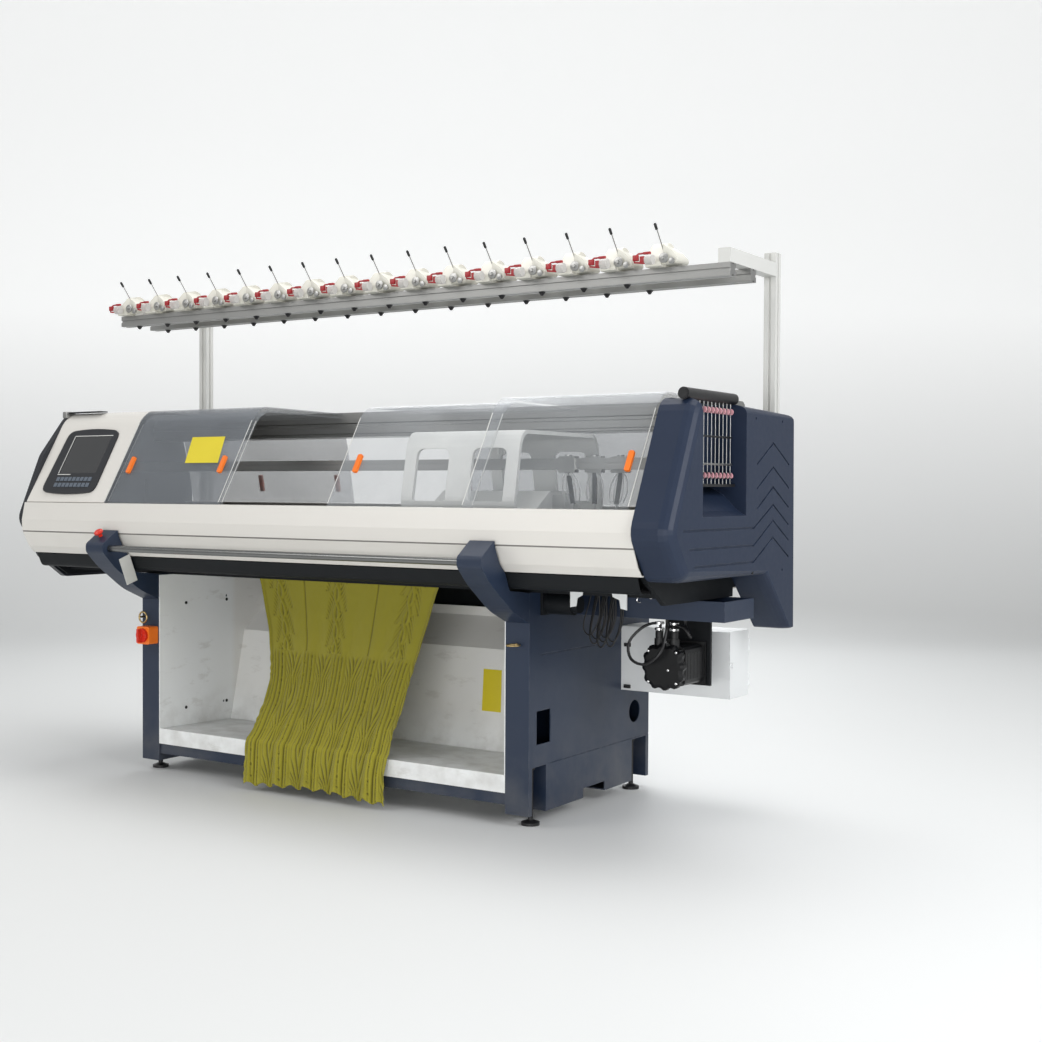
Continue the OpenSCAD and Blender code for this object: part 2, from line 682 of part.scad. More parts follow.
// Cables from the motor's connectors up to the bracket box
function catmull(p, n) =
  [for (i = [0 : len(p) - 2])
    let (a = p[max(i - 1, 0)], b = p[i], c = p[i + 1], d = p[min(i + 2, len(p) - 1)])
    each [for (k = [0 : n - 1]) let (t = k / n)
      0.5 * (2 * b + (c - a) * t + (2 * a - 5 * b + 4 * c - d) * t * t + (3 * b - a - 3 * c + d) * t * t * t)],
    p[len(p) - 1]];
module tube(path, r, sides = 8) {
  n = len(path);
  function dir(i) = unit(path[min(i + 1, n - 1)] - path[max(i - 1, 0)]);
  function ring(i) = let (d = dir(i), u = unit(cross(d, [0.31, 0.92, 0.24])), v = cross(d, u))
    [for (k = [0 : sides - 1]) path[i] + r * (cos(360 * k / sides) * u + sin(360 * k / sides) * v)];
  polyhedron(
    points = [for (i = [0 : n - 1]) each ring(i)],
    faces = concat([[for (k = [0 : sides - 1]) k]], [[for (k = [sides - 1 : -1 : 0]) (n - 1) * sides + k]],
      [for (i = [0 : n - 2]) for (k = [0 : sides - 1]) each [
        [i * sides + k, (i + 1) * sides + k, i * sides + (k + 1) % sides],
        [i * sides + (k + 1) % sides, (i + 1) * sides + k, (i + 1) * sides + (k + 1) % sides]]]));
}
cable_top = motor_z + motor_w * 0.45 + 51 + gap;
cable_end = panel_top - 78 - gap;
cable_a = [[motor_x - 26, motor_y[0] + 30, cable_top], [motor_x - 26, motor_y[0] + 30, cable_top + 22],
  [motor_x - 62, motor_y[0] + 2, cable_top + 14], [motor_x - 105, motor_y[0] - 14, cable_top - 34],
  [motor_x - 92, motor_y[0] - 26, cable_top - 84], [motor_x - 40, motor_y[0] - 30, cable_top - 96],
  [motor_x + 6, motor_y[0] - 24, cable_top - 58], [motor_x + 14, motor_y[0] - 6, cable_top - 4],
  [motor_x + 10, motor_y[0] + 8, cable_end - 16], [motor_x + 10, motor_y[0] + 8, cable_end]];
cable_b = [[motor_x + 24, motor_y[0] + 30, cable_top], [motor_x + 24, motor_y[0] + 30, cable_top + 18],
  [motor_x + 62, motor_y[0] + 14, cable_top + 16], [motor_x + 84, motor_y[0] + 16, cable_top - 12],
  [motor_x + 64, motor_y[0] + 26, cable_top + 16], [motor_x + 60, motor_y[0] + 30, cable_end - 12],
  [motor_x + 60, motor_y[0] + 30, cable_end]];
module motor_cables() {
  color(dark) {
    tube(catmull(cable_a, 4), 4.5);
    tube(catmull(cable_b, 4), 4.5);
  }
}

// Extruded front apron with a top flange, a bulge and a groove
apron_line = [[-112, apron_z], [-168, apron_z], [-181, apron_z - 62], [-179, apron_z - 102], [-175, apron_z - 104],
  [-176, apron_z - 108], [-150, apron_z - 158], [-128, apron_z - 182], [-116, apron_z - 182]];
module apron() {
  color(cream) ex(x_l, x_r) polygon(strip(apron_line, skin));
}
module rear_apron() {
  color(cream) ex(x_l, x_r)
    polygon(strip([[rear_y - rear_flange, apron_z], [rear_y, apron_z], [rear_y, rear_low], [beam_y1 + gap, rear_low]], -skin));
}

// Extruded top beam with steps for the two cover tracks and ridges on its front
rear_top_y = 577;
beam_z0 = apron_z + 240;
top_line = [[top_y, beam_z0], [560, beam_z0], [rear_top_y - clear_t - gap, beam_z0 + 16],
  [rear_top_y - clear_t - gap, top_z + 8], [560, top_z + 18], [top_y + 42, top_z + 18],
  [top_y + 42, top_z + 14 - clear_t], [top_y + 21, top_z + 14 - clear_t], [top_y + 21, top_z - clear_t],
  [top_y, top_z - clear_t], [top_y, beam_z0 + 50], [top_y + 7, beam_z0 + 47], [top_y + 7, beam_z0 + 38],
  [top_y, beam_z0 + 35], [top_y, beam_z0 + 12], [top_y + 5, beam_z0 + 10], [top_y + 5, beam_z0 + 3]];
module top_beam() {
  color([0.55, 0.55, 0.54]) ex(xf_l, xf_r) polygon(top_line);
}

// A solid between outlines at several places along X, with [x, inset] steps. The first point sees all the others.
module loft(line, steps) {
  n = len(line);
  m = len(steps);
  function pt(i, k) = let (q = ring_pt([for (p = line) [p[0], p[1]]], k, steps[i][1] * line[k][2]))
    [steps[i][0], q[0], q[1]];
  polyhedron(
    points = [for (i = [0 : m - 1]) for (k = [0 : n - 1]) pt(i, k)],
    faces = concat([[for (k = [0 : n - 1]) k]], [[for (k = [n : -1 : 1]) (m - 1) * n + k % n]],
      [for (i = [0 : m - 2]) for (k = [0 : n - 1]) each [
        [i * n + k, (i + 1) * n + k, i * n + (k + 1) % n],
        [i * n + (k + 1) % n, (i + 1) * n + k, (i + 1) * n + (k + 1) % n]]]));
}
// A rounded outline that keeps each corner's share of the inset, from [y, z, corner, share]
function shares(p, n) =
  let (m = len(p))
  [for (i = [0 : m - 1])
    let (a = p[(i + m - 1) % m], b = p[i], c = p[(i + 1) % m])
    for (q = corner([a[0], a[1]], [b[0], b[1]], [c[0], c[1]], b[2], n)) [q[0], q[1], b[3]]];

cap_line = [for (p = end_line) [p[0], p[1], 1]];
module left_end_cap() {
  color(dark) loft(cap_line, [[x_l - cap_t, 7], [x_l - cap_t + 2, 3], [x_l - cap_t + 6, 0], [x_l, 0]]);
}

// Fixed hood over the left end, with the control panel on its slope
module on_slope(n) {
  translate([0, hood_foot[0] - 12 * n, hood_foot[1]])
    rotate([atan2(hood_edge[1] + 7 * n - hood_foot[1], hood_edge[0] - hood_foot[0]), 0, 0]) children();
}
module control_housing() {
  color(cream) ex(x_l, cover_x1 - gap) polygon(strip(hood_track(1), -skin));
}
panel_x = [x_l + 60, x_l + 340];
panel_s = [40, 300];
screen_x = [x_l + 115, x_l + 310];
screen_s = [116, 270];
bezel_t = 6;
module control_panel() {
  mid = (panel_x[0] + panel_x[1]) / 2;
  color([0.09, 0.10, 0.12]) on_slope(1) difference() {
    translate([0, 0, gap]) linear_extrude(bezel_t)
      polygon(soft([[panel_x[0], panel_s[0], 30], [mid, panel_s[0] - 14, 90], [panel_x[1], panel_s[0], 30],
        [panel_x[1] - 4, panel_s[1] - 8, 30], [mid, panel_s[1] + 6, 90], [panel_x[0] + 10, panel_s[1] - 8, 30]], 5));
    translate([0, 0, 2]) linear_extrude(bezel_t)
      rect([screen_x[0], screen_s[0]], [screen_x[1], screen_s[1]]);
  }
  color([0.25, 0.28, 0.33]) on_slope(1)
    for (r = [0 : 1], k = [0 : 8])
      translate([screen_x[0] + 4 + k * 21, panel_s[0] + 18 + r * 24, gap + bezel_t]) cube([16, 16, 2]);
}
module control_screen() {
  color([0.2, 0.2, 0.2]) on_slope(1)
    translate([screen_x[0] + gap, screen_s[0] + gap, 2])
      cube([screen_x[1] - screen_x[0] - 2 * gap, screen_s[1] - screen_s[0] - 2 * gap, 3]);
}

// Clear sliding covers, two tracks deep, with a handle on the slope
handle_s = 148;
module front_cover(x, n, handles) {
  color([0.75, 0.8, 0.85, 0.35]) ex(x, x + cover_l) polygon(strip(hood_track(n), -clear_t));
  color(orange) on_slope(n)
    for (h = handles)
      translate([h, handle_s, 0]) {
        translate([0, 0, -clear_t / 2]) linear_extrude(9 + clear_t / 2) polygon(soft([[-handle_w / 2, -handle_l / 2, 5], [handle_w / 2, -handle_l / 2, 5],
          [handle_w / 2, handle_l / 2, 5], [-handle_w / 2, handle_l / 2, 5]], 2));
        translate([0, 0, 8]) linear_extrude(6) polygon(soft([[-handle_w / 2, -handle_l / 2, 5],
          [-handle_w / 2 + 6, -handle_l / 2, 2], [-handle_w / 2 + 6, handle_l / 2, 2], [-handle_w / 2, handle_l / 2, 5]], 2));
      }
}
module front_cover_1() { front_cover(cover_x1, 1, [cover_x1 + 60, cover_x1 + cover_l - 50]); }
module front_cover_2() { front_cover(cover_x1 + 5, 0, []); }
module front_cover_3() { front_cover(cover_x3, 0, [cover_x3 + 66]); }
module front_cover_4() { front_cover(cover_x4, 1, [cover_x4 + cover_l - 34]); }

rear_line = bend([[648, apron_z + gap + 1, 0], [602, apron_z + 240, 30], [rear_top_y, apron_z + 288, 14],
  [rear_top_y, top_z + 6, 0]], 3);
rear_x = [xf_l + 4, xf_l + 4 + rear_cover_l + 470];
module rear_cover(x, handles) {
  color([0.85, 0.86, 0.88]) ex(x, x + rear_cover_l) polygon(strip(rear_line, clear_t));
  color([0.7, 0.3, 0.15])
    for (h = handles)
      translate([h - handle_w / 2, 636, apron_z + 42]) rotate([11, 0, 0]) cube([handle_w, 13, handle_l]);
}
module rear_cover_1() { rear_cover(rear_x[0], [rear_x[0] + 384, rear_x[0] + 774]); }
module rear_cover_2() { rear_cover(rear_x[1], [rear_x[1] + 64]); }

// Moulded right end cover: shell, open-topped slot with a ramp, grooves and screw holes
cover_line = shares([[437, apron_z - 198, 0, 0.4], [620, apron_z - 374, 10, 0.2], [653, apron_z - 376, 10, 0.2],
  [654, apron_z + 291, 26, 0.45], [-22, apron_z + 312, 46, 1], [-203, apron_z - 67, 40, 1],
  [-103, apron_z - 197, 26, 1]], 4);
cover_x = x_r + cover_t;
slot_y = [-4, 285];
slot_z = apron_z - 20;
slot_x = x_r + 12;
ramp = [[slot_x, apron_z + 400], [slot_x, apron_z + 62], [slot_x + 34, apron_z + 42], [cover_x - 26, slot_z + 16],
  [cover_x + 1, slot_z], [cover_x + 1, apron_z + 400]];
groove = 6;
apex_y = 480;
apex_z = [200, 128, 68, 15, -32, -83];
long_z = [-53, -104, -152];
long_y = [-122, -89, -55];
tension_bar = [x_r + 70, apron_z + 319, 17];
module right_end_cover() {
  color([0.16, 0.20, 0.29]) difference() {
    loft(cover_line, [[x_r, 0], [cover_x - 40, 0], [cover_x - 26, 3], [cover_x - 14, 9], [cover_x - 5, 19], [cover_x, 32]]);
    difference() {
      loft(cover_line, [[x_r - 60, 5], [cover_x - 46, 5], [cover_x - 30, 10], [cover_x - 18, 17], [cover_x - 7, 34]]);
      blk([slot_x - 5, slot_y[0] - 5, apron_z - 26], [cover_x, slot_y[1] + 5, apron_z + 400]);
    }
    ey(slot_y[0], slot_y[1]) polygon(ramp);
    // saddle for the tensioner bar
    cy(-60, 320, tension_bar[0], tension_bar[1], tension_bar[2] + gap);
    // three chevrons by themselves, three that run on to the front
    for (i = [0 : 5])
      let (z = apron_z + apex_z[i])
        ex(cover_x - 3.5, cover_x + 1) polygon(strip(concat(
          i < 3 ? [[358, z - 66]] : [[long_y[i - 3], apron_z + long_z[i - 3]], [338, apron_z + long_z[i - 3]]],
          [[apex_y, z], [605, z - 64]]), -groove));
    for (p = [[350, 265], [549, 264], [342, -187], [555, -187]])
      cx(cover_x - 8, cover_x + 1, p[0], apron_z + p[1], 4.5);
  }
}

// Round bar over the slot and the wires and discs that hang in it
module tensioner_bar() {
  color(dark) {
    cy(-26, 300, tension_bar[0], tension_bar[1], tension_bar[2]);
    cy(-30, -26, tension_bar[0], tension_bar[1], tension_bar[2] - 3);
  }
}
wire_n = 10;
wire_y = [34, 262];
wire_x = tension_bar[0] + 8;
wire_r = 1.6;
wire_top = tension_bar[1] - sqrt(tension_bar[2] ^ 2 - (wire_x - tension_bar[0] - wire_r) ^ 2) - gap;
module side_tensioners() {
  color(steel) {
    blk([slot_x + gap, wire_y[0] - 14, apron_z + 64], [wire_x + 10, wire_y[1] + 14, apron_z + 72]);
    for (z = [92, 128, 206])
      cy(wire_y[0] - 8, wire_y[1] + 8, wire_x, apron_z + z, 3);
    for (i = [0 : wire_n - 1])
      translate([wire_x, wire_y[0] + i * (wire_y[1] - wire_y[0]) / (wire_n - 1), apron_z + 66]) {
        cylinder(h = wire_top - apron_z - 66, r = wire_r, $fn = 16);
        for (z = [30, 214])
          translate([0, -3, z]) rotate([-90, 0, 0]) cylinder(h = 6, r = 9);
      }
  }
}

// Electric box on the side panel, its door on the free end
box_l = 385;
box_y = [560, 700];
box_z = [350, 560];
box_wall = 3;
// Two hinges on the rear edge of the box, each with a lower knuckle on the door and an upper one on the box
hinge_r = 4;
hinge_at = [base_l + box_l + gap + 1, box_y[1] + hinge_r + 0.5];
knuckle_h = 20;
knuckle_z = [box_z[0] + 30, box_z[1] - 30 - 2 * knuckle_h];
module knuckle(z, x) {
  translate([hinge_at[0], hinge_at[1], z]) cylinder(h = knuckle_h, r = hinge_r);
  blk([x[0], box_y[1] - 1, z], [x[1], hinge_at[1] - 1, z + knuckle_h]);
}
module electric_box() {
  color(white) {
    difference() {
      blk([base_l, box_y[0], box_z[0]], [base_l + box_l, box_y[1], box_z[1]]);
      blk([base_l + box_wall, box_y[0] + box_wall, box_z[0] + box_wall],
        [base_l + box_l + 1, box_y[1] - box_wall, box_z[1] - box_wall]);
    }
    for (z = knuckle_z)
      knuckle(z + knuckle_h + gap, [base_l + box_l - 14, base_l + box_l]);
  }
}
module electric_box_door() {
  color(white) {
    for (z = knuckle_z)
      knuckle(z, [base_l + box_l + gap, base_l + box_l + gap + 2]);
    blk([base_l + box_l + gap, box_y[0], box_z[0]], [base_l + box_l + gap + 2, box_y[1], box_z[1]]);
    translate([base_l + box_l + gap + 2, box_y[0] + 14, (box_z[0] + box_z[1]) / 2]) rotate([0, 90, 0])
      cylinder(h = 5, r = 8);
  }
}

// Slotted profile posts with their cross arms and foot brackets
module slotted(w) {
  difference() {
    square(w, center = true);
    for (a = [0, 90, 180, 270])
      rotate(a) translate([w / 2 - 5, -4]) square([6, 8]);
  }
}
post_x = [x_l - 10, x_r];
arm_z = [rail_z + prof, rail_z + prof + 44];
module stand_posts() {
  color([0.80, 0.80, 0.78])
    for (x = post_x) {
      translate([x, post_y + prof / 2, panel_top + 40]) linear_extrude(stand_top - panel_top - 40) slotted(prof);
      ey(arm_y0, post_y) translate([x, (arm_z[0] + arm_z[1]) / 2]) square([prof, arm_z[1] - arm_z[0]], center = true);
      blk([x - prof / 2, rear_y + gap, panel_top + 40], [x + prof / 2, rear_y + gap + 8, panel_top + 180]);
      blk([x - prof / 2, rear_y + gap + 8, panel_top + 70], [x + prof / 2, post_y, panel_top + 110]);
    }
}
rail_ys = [arm_y0 + prof / 2, arm_y0 + 170];
module stand_rails() {
  color([0.62, 0.62, 0.60])
    for (y = rail_ys)
      translate([0, y, rail_z + prof / 2]) rotate([90, 0, 90]) translate([0, 0, stand_x0])
        linear_extrude(x_r + prof / 2 - stand_x0) slotted(prof);
}

// Yarn control units on the front rail
unit_z = rail_z + prof;
unit_line = soft([[-54, gap, 6], [50, gap, 6], [66, 24, 10], [34, 74, 16], [2, 80, 12], [-50, 26, 10]], 3);
module yarn_units() {
  color([0.86, 0.85, 0.80])
    for (i = [0 : unit_n - 1])
      translate([unit_x0 + i * unit_pitch, rail_ys[0], unit_z])
        ex(-unit_w / 2, unit_w / 2) polygon(unit_line);
}
module yarn_fittings() {
  for (i = [0 : unit_n - 1])
    translate([unit_x0 + i * unit_pitch, rail_ys[0] - 40, unit_z]) {
      color([0.65, 0.12, 0.14]) translate([-unit_w / 2 - 16, -18, 16]) cube([16, 40, 18]);
      color([0.85, 0.85, 0.85]) cx(-12, 12, -34, 18, 15);
      color([0.9, 0.9, 0.9]) cy(-20, -12.1, 0, 18, 3);
      color(steel) translate([unit_w / 2 - 8, 18, 55.8]) rotate([38, 0, 0]) cylinder(h = 84, r = 1.8, $fn = 16);
    }
  color(dark)
    for (i = [0 : unit_n - 2], y = rail_ys)
      translate([unit_x0 + 40 + i * unit_pitch, y, rail_z - 12]) cylinder(h = 12, r1 = 4, r2 = 12);
}

// Knitted fabric, from the gap between the beds through the rollers and over the tray's lip,
// with rows of [y, z, left edge, right edge]
fabric_rows = [[mid_y, bed_top - 6, 350, 1148], [mid_y, beam_top + 10, 350, 1148], [mid_y, roller_z + 12, 350, 1148],
  [mid_y, roller_z - 12, 350, 1148], [mid_y - 8, panel_top, 350, 1148], [230, 660, 362, 1136], [222, 600, 384, 1119],
  [208, 540, 412, 1106], [186, 480, 444, 1099], [158, 420, 473, 1096], [126, 360, 500, 1096], [92, 305, 521, 1100],
  [56, 250, 533, 1108], [24, tray_z + 44, 531, 1117], [4, tray_z + 12, 527, 1124], [-2.6, tray_z + 2, 524, 1123],
  [-6, tray_z - 12, 524, 1122], [-14, 110, 532, 1121], [-24, 76, 542, 1125], [-34, 46, 551, 1132], [-42, 25, 558, 1138],
  [-46, 10, 563, 1143]];
fabric_cols = 12;
module knitted_fabric() {
  n = len(fabric_rows);
  m = fabric_cols + 1;
  line = [for (r = fabric_rows) [r[0], r[1]]];
  function swing(i, k) = i < 9 ? 0 : min(i - 9, 5) * 2.2 * (1 - cos(k * 120 + i * 9));
  function at(i, k, t) = let (q = side(line, i, t), r = fabric_rows[i])
    [r[2] + (r[3] - r[2]) * k / fabric_cols, q[0] - swing(i, k), q[1]];
  function id(s, i, k) = s * n * m + i * m + k;
  color([0.57, 0.55, 0.18]) polyhedron(
    points = [for (s = [-1, 1]) for (i = [0 : n - 1]) for (k = [0 : m - 1]) at(i, k, s * fabric_t / 2)],
    faces = concat(
      [for (i = [0 : n - 2]) for (k = [0 : m - 2]) each [
        [id(0, i, k), id(0, i, k + 1), id(0, i + 1, k)], [id(0, i, k + 1), id(0, i + 1, k + 1), id(0, i + 1, k)],
        [id(1, i, k), id(1, i + 1, k), id(1, i, k + 1)], [id(1, i, k + 1), id(1, i + 1, k), id(1, i + 1, k + 1)]]],
      [for (i = [0 : n - 2]) for (k = [0, m - 1]) let (a = id(0, i, k), b = id(0, i + 1, k), c = id(1, i + 1, k), d = id(1, i, k))
        each k == 0 ? [[a, b, c], [a, c, d]] : [[c, b, a], [d, c, a]]],
      [for (k = [0 : m - 2]) for (i = [0, n - 1]) let (a = id(0, i, k), b = id(0, i, k + 1), c = id(1, i, k + 1), d = id(1, i, k))
        each i == 0 ? [[c, b, a], [d, c, a]] : [[a, b, c], [a, c, d]]]));
}

place() side_panel_left();
place() side_panel_right();
place() base_rails();
place() base_rear_panel();
place() fabric_tray();
place() levelling_feet();
place() arm_left();
place() arm_right();
place() operating_bar();
place() stop_button();
place() guide_rings();
place() arm_plate();
place() main_switch_body();
place() main_switch_knob();
place() bed_beam();
place() oil_trough();
place() needle_bed_front();
place() needle_bed_rear();
place() carriage_rails();
place() feeder_rails();
place() end_frames();
place() takedown_roller();
place() pressure_roller();
place() takedown_motor();
place() carriage_bridge();
place() cam_boxes();
place() yarn_carrier_1();
place() yarn_carrier_2();
place() yarn_carrier_3();
place() drive_pulley();
place() idler_pulley();
place() main_belt();
place() servo_motor();
place() motor_bracket();
place() motor_cables();
place() apron();
place() rear_apron();
place() top_beam();
place() left_end_cap();
place() control_housing();
place() control_panel();
place() control_screen();
place() front_cover_1();
place() front_cover_2();
place() front_cover_3();
place() front_cover_4();
place() rear_cover_1();
place() rear_cover_2();
place() right_end_cover();
place() tensioner_bar();
place() side_tensioners();
place() electric_box();
place() electric_box_door();
place() stand_posts();
place() stand_rails();
place() yarn_units();
place() yarn_fittings();
place() knitted_fabric();
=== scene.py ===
"""Looks of the flat knitting machine: finishes, small trim, labels, wires and the knitted fabric."""

import math
from bisect import bisect_right

import bmesh
import bpy
from mathutils import Matrix, Vector, noise


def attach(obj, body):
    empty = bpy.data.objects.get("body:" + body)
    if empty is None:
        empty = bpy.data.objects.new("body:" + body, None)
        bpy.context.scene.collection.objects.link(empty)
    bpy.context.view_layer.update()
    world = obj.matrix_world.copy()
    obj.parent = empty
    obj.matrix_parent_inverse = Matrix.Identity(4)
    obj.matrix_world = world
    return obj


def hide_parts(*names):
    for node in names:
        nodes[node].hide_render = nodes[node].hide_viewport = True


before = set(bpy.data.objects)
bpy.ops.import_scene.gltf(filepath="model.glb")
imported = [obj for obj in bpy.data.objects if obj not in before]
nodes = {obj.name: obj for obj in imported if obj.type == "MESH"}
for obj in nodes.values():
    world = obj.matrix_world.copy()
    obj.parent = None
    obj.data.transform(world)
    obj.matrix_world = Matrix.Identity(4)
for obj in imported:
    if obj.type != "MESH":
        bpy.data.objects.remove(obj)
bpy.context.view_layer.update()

# Places are written in the source's own millimetres, from the base's front left corner
MID_X, MID_Y = 830, 256  # the row frame's zero
BED_Y = 240  # middle of the needle beds


def at(x, y, z):
    """A point in millimetres from the base's front left corner, as a point of the row frame."""
    return Vector(((x - MID_X) / 1000, (y - MID_Y) / 1000, z / 1000))


def srgb(r, g, b):
    """A colour as it looks on screen, 0 to 255, in the renderer's linear values."""
    def linear(v):
        v /= 255
        return v / 12.92 if v <= 0.04045 else ((v + 0.055) / 1.055) ** 2.4
    return (linear(r), linear(g), linear(b), 1.0)


# Camera: fitted to the straight edges of the photograph
CAMERA_PLACE = (3875, -3502, 1002)
CAMERA_ANGLES = (32.91, -1.25, 0.27)  # yaw, pitch and roll in degrees
LENS, SENSOR = 48.87, 36


def make_camera():
    yaw, pitch, roll = (math.radians(a) for a in CAMERA_ANGLES)
    forward = Vector((-math.sin(yaw) * math.cos(pitch), math.cos(yaw) * math.cos(pitch), math.sin(pitch)))
    right = Vector((math.cos(yaw), math.sin(yaw), 0))
    up = right.cross(forward)
    right, up = (math.cos(roll) * right + math.sin(roll) * up, -math.sin(roll) * right + math.cos(roll) * up)
    cam = bpy.data.objects.new("camera", bpy.data.cameras.new("camera"))
    bpy.context.scene.collection.objects.link(cam)
    cam.data.lens, cam.data.sensor_width = LENS, SENSOR
    cam.data.clip_start, cam.data.clip_end = 0.05, 60
    turn = Matrix((right, up, -forward)).transposed().to_4x4()
    cam.matrix_world = Matrix.Translation(at(*CAMERA_PLACE)) @ turn
    bpy.context.scene.camera = cam


# Shader helpers

def shade(color, factor, rise=0.0):
    """A colour made lighter or darker."""
    return (*(min(1, c * factor + rise) for c in color[:3]), 1)


class Finish:
    """A material with its shader, and short ways to add the nodes that feed it."""

    def __init__(self, name, color, rough, metal=0.0, **fixed):
        self.mat = bpy.data.materials.new(name)
        self.mat.use_nodes = True
        self.tree = self.mat.node_tree
        self.bsdf = self.tree.nodes["Principled BSDF"]
        self.bsdf.inputs["Base Color"].default_value = color
        self.bsdf.inputs["Roughness"].default_value = rough
        self.bsdf.inputs["Metallic"].default_value = metal
        for key, value in fixed.items():
            self.bsdf.inputs[key.replace("_", " ")].default_value = value
        self.color, self.height = color, None

    def feed(self, socket, value):
        """Links another node's output to a socket, or sets the socket to a plain value."""
        if isinstance(value, bpy.types.NodeSocket):
            self.tree.links.new(value, socket)
        else:
            socket.default_value = value

    def node(self, kind, inputs=None, **settings):
        n = self.tree.nodes.new(kind)
        for key, value in settings.items():
            setattr(n, key, value)
        for key, value in (inputs or {}).items():
            self.feed(n.inputs[key], value)
        return n

    def place(self, stretch):
        """The object's own coordinates, scaled per axis."""
        co = self.node("ShaderNodeTexCoord").outputs["Object"]
        return self.node("ShaderNodeVectorMath", {0: co, 1: stretch}, operation="MULTIPLY").outputs[0]

    def axis(self, name, source="Object"):
        co = self.node("ShaderNodeTexCoord").outputs[source]
        return self.node("ShaderNodeSeparateXYZ", {0: co}).outputs[name]

    def noise(self, scale, detail=3.0, stretch=(1, 1, 1), rough=0.55):
        inputs = {"Vector": self.place(stretch), "Scale": scale, "Detail": detail, "Roughness": rough}
        return self.node("ShaderNodeTexNoise", inputs).outputs["Fac"]

    def ramp(self, value, low, high, to_low=0.0, to_high=1.0):
        return self.node("ShaderNodeMapRange", {0: value, 1: low, 2: high, 3: to_low, 4: to_high}).outputs[0]

    def math(self, kind, a, b=0.0, c=0.0):
        return self.node("ShaderNodeMath", {0: a, 1: b, 2: c}, operation=kind).outputs[0]

    def paint(self, amount, color):
        """Lays a colour over what is there, by an amount from 0 to 1."""
        n = self.node("ShaderNodeMix", data_type="RGBA")
        for socket, value in ((0, amount), (6, self.color), (7, color)):
            self.feed(n.inputs[socket], value)
        self.color = n.outputs[2]
        self.tree.links.new(self.color, self.bsdf.inputs["Base Color"])
        return self

    def gloss(self, value, low, high):
        """Roughness that varies with a value from 0 to 1."""
        self.tree.links.new(self.ramp(value, 0, 1, low, high), self.bsdf.inputs["Roughness"])
        return self

    def bump(self, value, depth, strength=1.0):
        """Relief of a depth in metres."""
        inputs = {"Height": value, "Distance": depth, "Strength": strength}
        if self.height is not None:
            inputs["Normal"] = self.height
        self.height = self.node("ShaderNodeBump", inputs).outputs[0]
        self.tree.links.new(self.height, self.bsdf.inputs["Normal"])
        return self

    def soft_edges(self, radius):
        """Rounds the edges in the light by a radius in metres."""
        self.height = self.node("ShaderNodeBevel", {"Radius": radius}, samples=4).outputs[0]
        self.tree.links.new(self.height, self.bsdf.inputs["Normal"])
        return self

    def edge_wear_and_highlight(self, color, amount=0.5, width=0.002):
        """A colour along the edges, where the rounded normal departs from the face's own: worn paint on the
        navy and white paint, a painted highlight on the navy moulding.
        """
        rounded = self.node("ShaderNodeBevel", {"Radius": width}, samples=4).outputs[0]
        flat = self.node("ShaderNodeNewGeometry").outputs["Normal"]
        dot = self.node("ShaderNodeVectorMath", {0: rounded, 1: flat}, operation="DOT_PRODUCT")
        edge = self.ramp(dot.outputs["Value"], 0.995, 0.85)
        wear_and_highlight = self.math("MULTIPLY", edge, self.ramp(self.noise(30), 0.46, 0.6))
        return self.paint(self.math("MULTIPLY", wear_and_highlight, amount), color)

    def tint_below(self, color, amount, low, high):
        """A colour in clouds that thin out with height, in metres: dust on the navy paint, and a darkening
        towards the bottom on the cream paint.
        """
        rise = self.ramp(self.axis("Z"), low, high, 1.0, 0.0)
        cloud = self.math("MULTIPLY", rise, self.ramp(self.noise(7, 5), 0.35, 0.7))
        return self.paint(self.math("MULTIPLY", cloud, amount), color)


def powder_coat(name, color, rough=0.42, grain=900, edges=0.0015, cloud=0.14, **fixed):
    f = Finish(name, color, rough, **fixed)
    f.soft_edges(edges)
    f.paint(f.ramp(f.noise(3.5, 4), 0.3, 0.7, 0.0, cloud), shade(color, 1.35))
    f.gloss(f.noise(24, 4), rough - 0.4 * cloud, rough + 0.5 * cloud)
    f.bump(f.noise(grain, 2), 0.00012, 0.5)
    return f


def metal(name, color, rough, grain=(1, 1, 1), scale=220, edges=0.0008):
    """Ground or drawn metal. grain stretches its lines: 1 along them, more across."""
    f = Finish(name, color, rough, 1.0)
    if edges:
        f.soft_edges(edges)
    lines = f.noise(scale, 3, grain)
    f.paint(f.ramp(lines, 0.3, 0.7, 0.0, 0.22), shade(color, 0.6))
    f.gloss(lines, rough - 0.08, rough + 0.12)
    f.bump(lines, 0.00005, 0.4)
    return f


def plastic(name, color, rough, grain=1400, depth=0.00006, edges=0.0008, **fixed):
    f = Finish(name, color, rough, **fixed)
    if edges:
        f.soft_edges(edges)
    f.paint(f.ramp(f.noise(11, 3), 0.35, 0.7, 0.0, 0.12), shade(color, 1.3, 0.01))
    f.gloss(f.noise(60, 3), max(0.03, rough - 0.05), rough + 0.08)
    f.bump(f.noise(grain, 2), depth, 0.5)
    return f


def make_paints():
    navy = powder_coat("navy_paint", srgb(28, 41, 62), 0.42)
    navy.edge_wear_and_highlight(srgb(120, 128, 138), 0.45)
    navy.tint_below(srgb(120, 118, 112), 0.35, 0.02, 0.32)
    white = powder_coat("white_paint", srgb(222, 224, 224), 0.38, 700)
    white.edge_wear_and_highlight(srgb(150, 150, 148), 0.4)
    return {
        "navy": navy,
        "white": white,
        "tray": tray_finish(),
        "cream": apron_finish(),
        "dark": powder_coat("dark_paint", srgb(17, 20, 23), 0.55, Specular_IOR_Level=0.22),
        "motor": powder_coat("motor_paint", srgb(11, 12, 14), 0.36, Specular_IOR_Level=0.3),
        "posts": powder_coat("post_anodising", srgb(206, 206, 202), 0.4, 1200, 0.001),
        "carriage": powder_coat("carriage_paint", srgb(228, 229, 226), 0.33, 800, 0.002),
    }


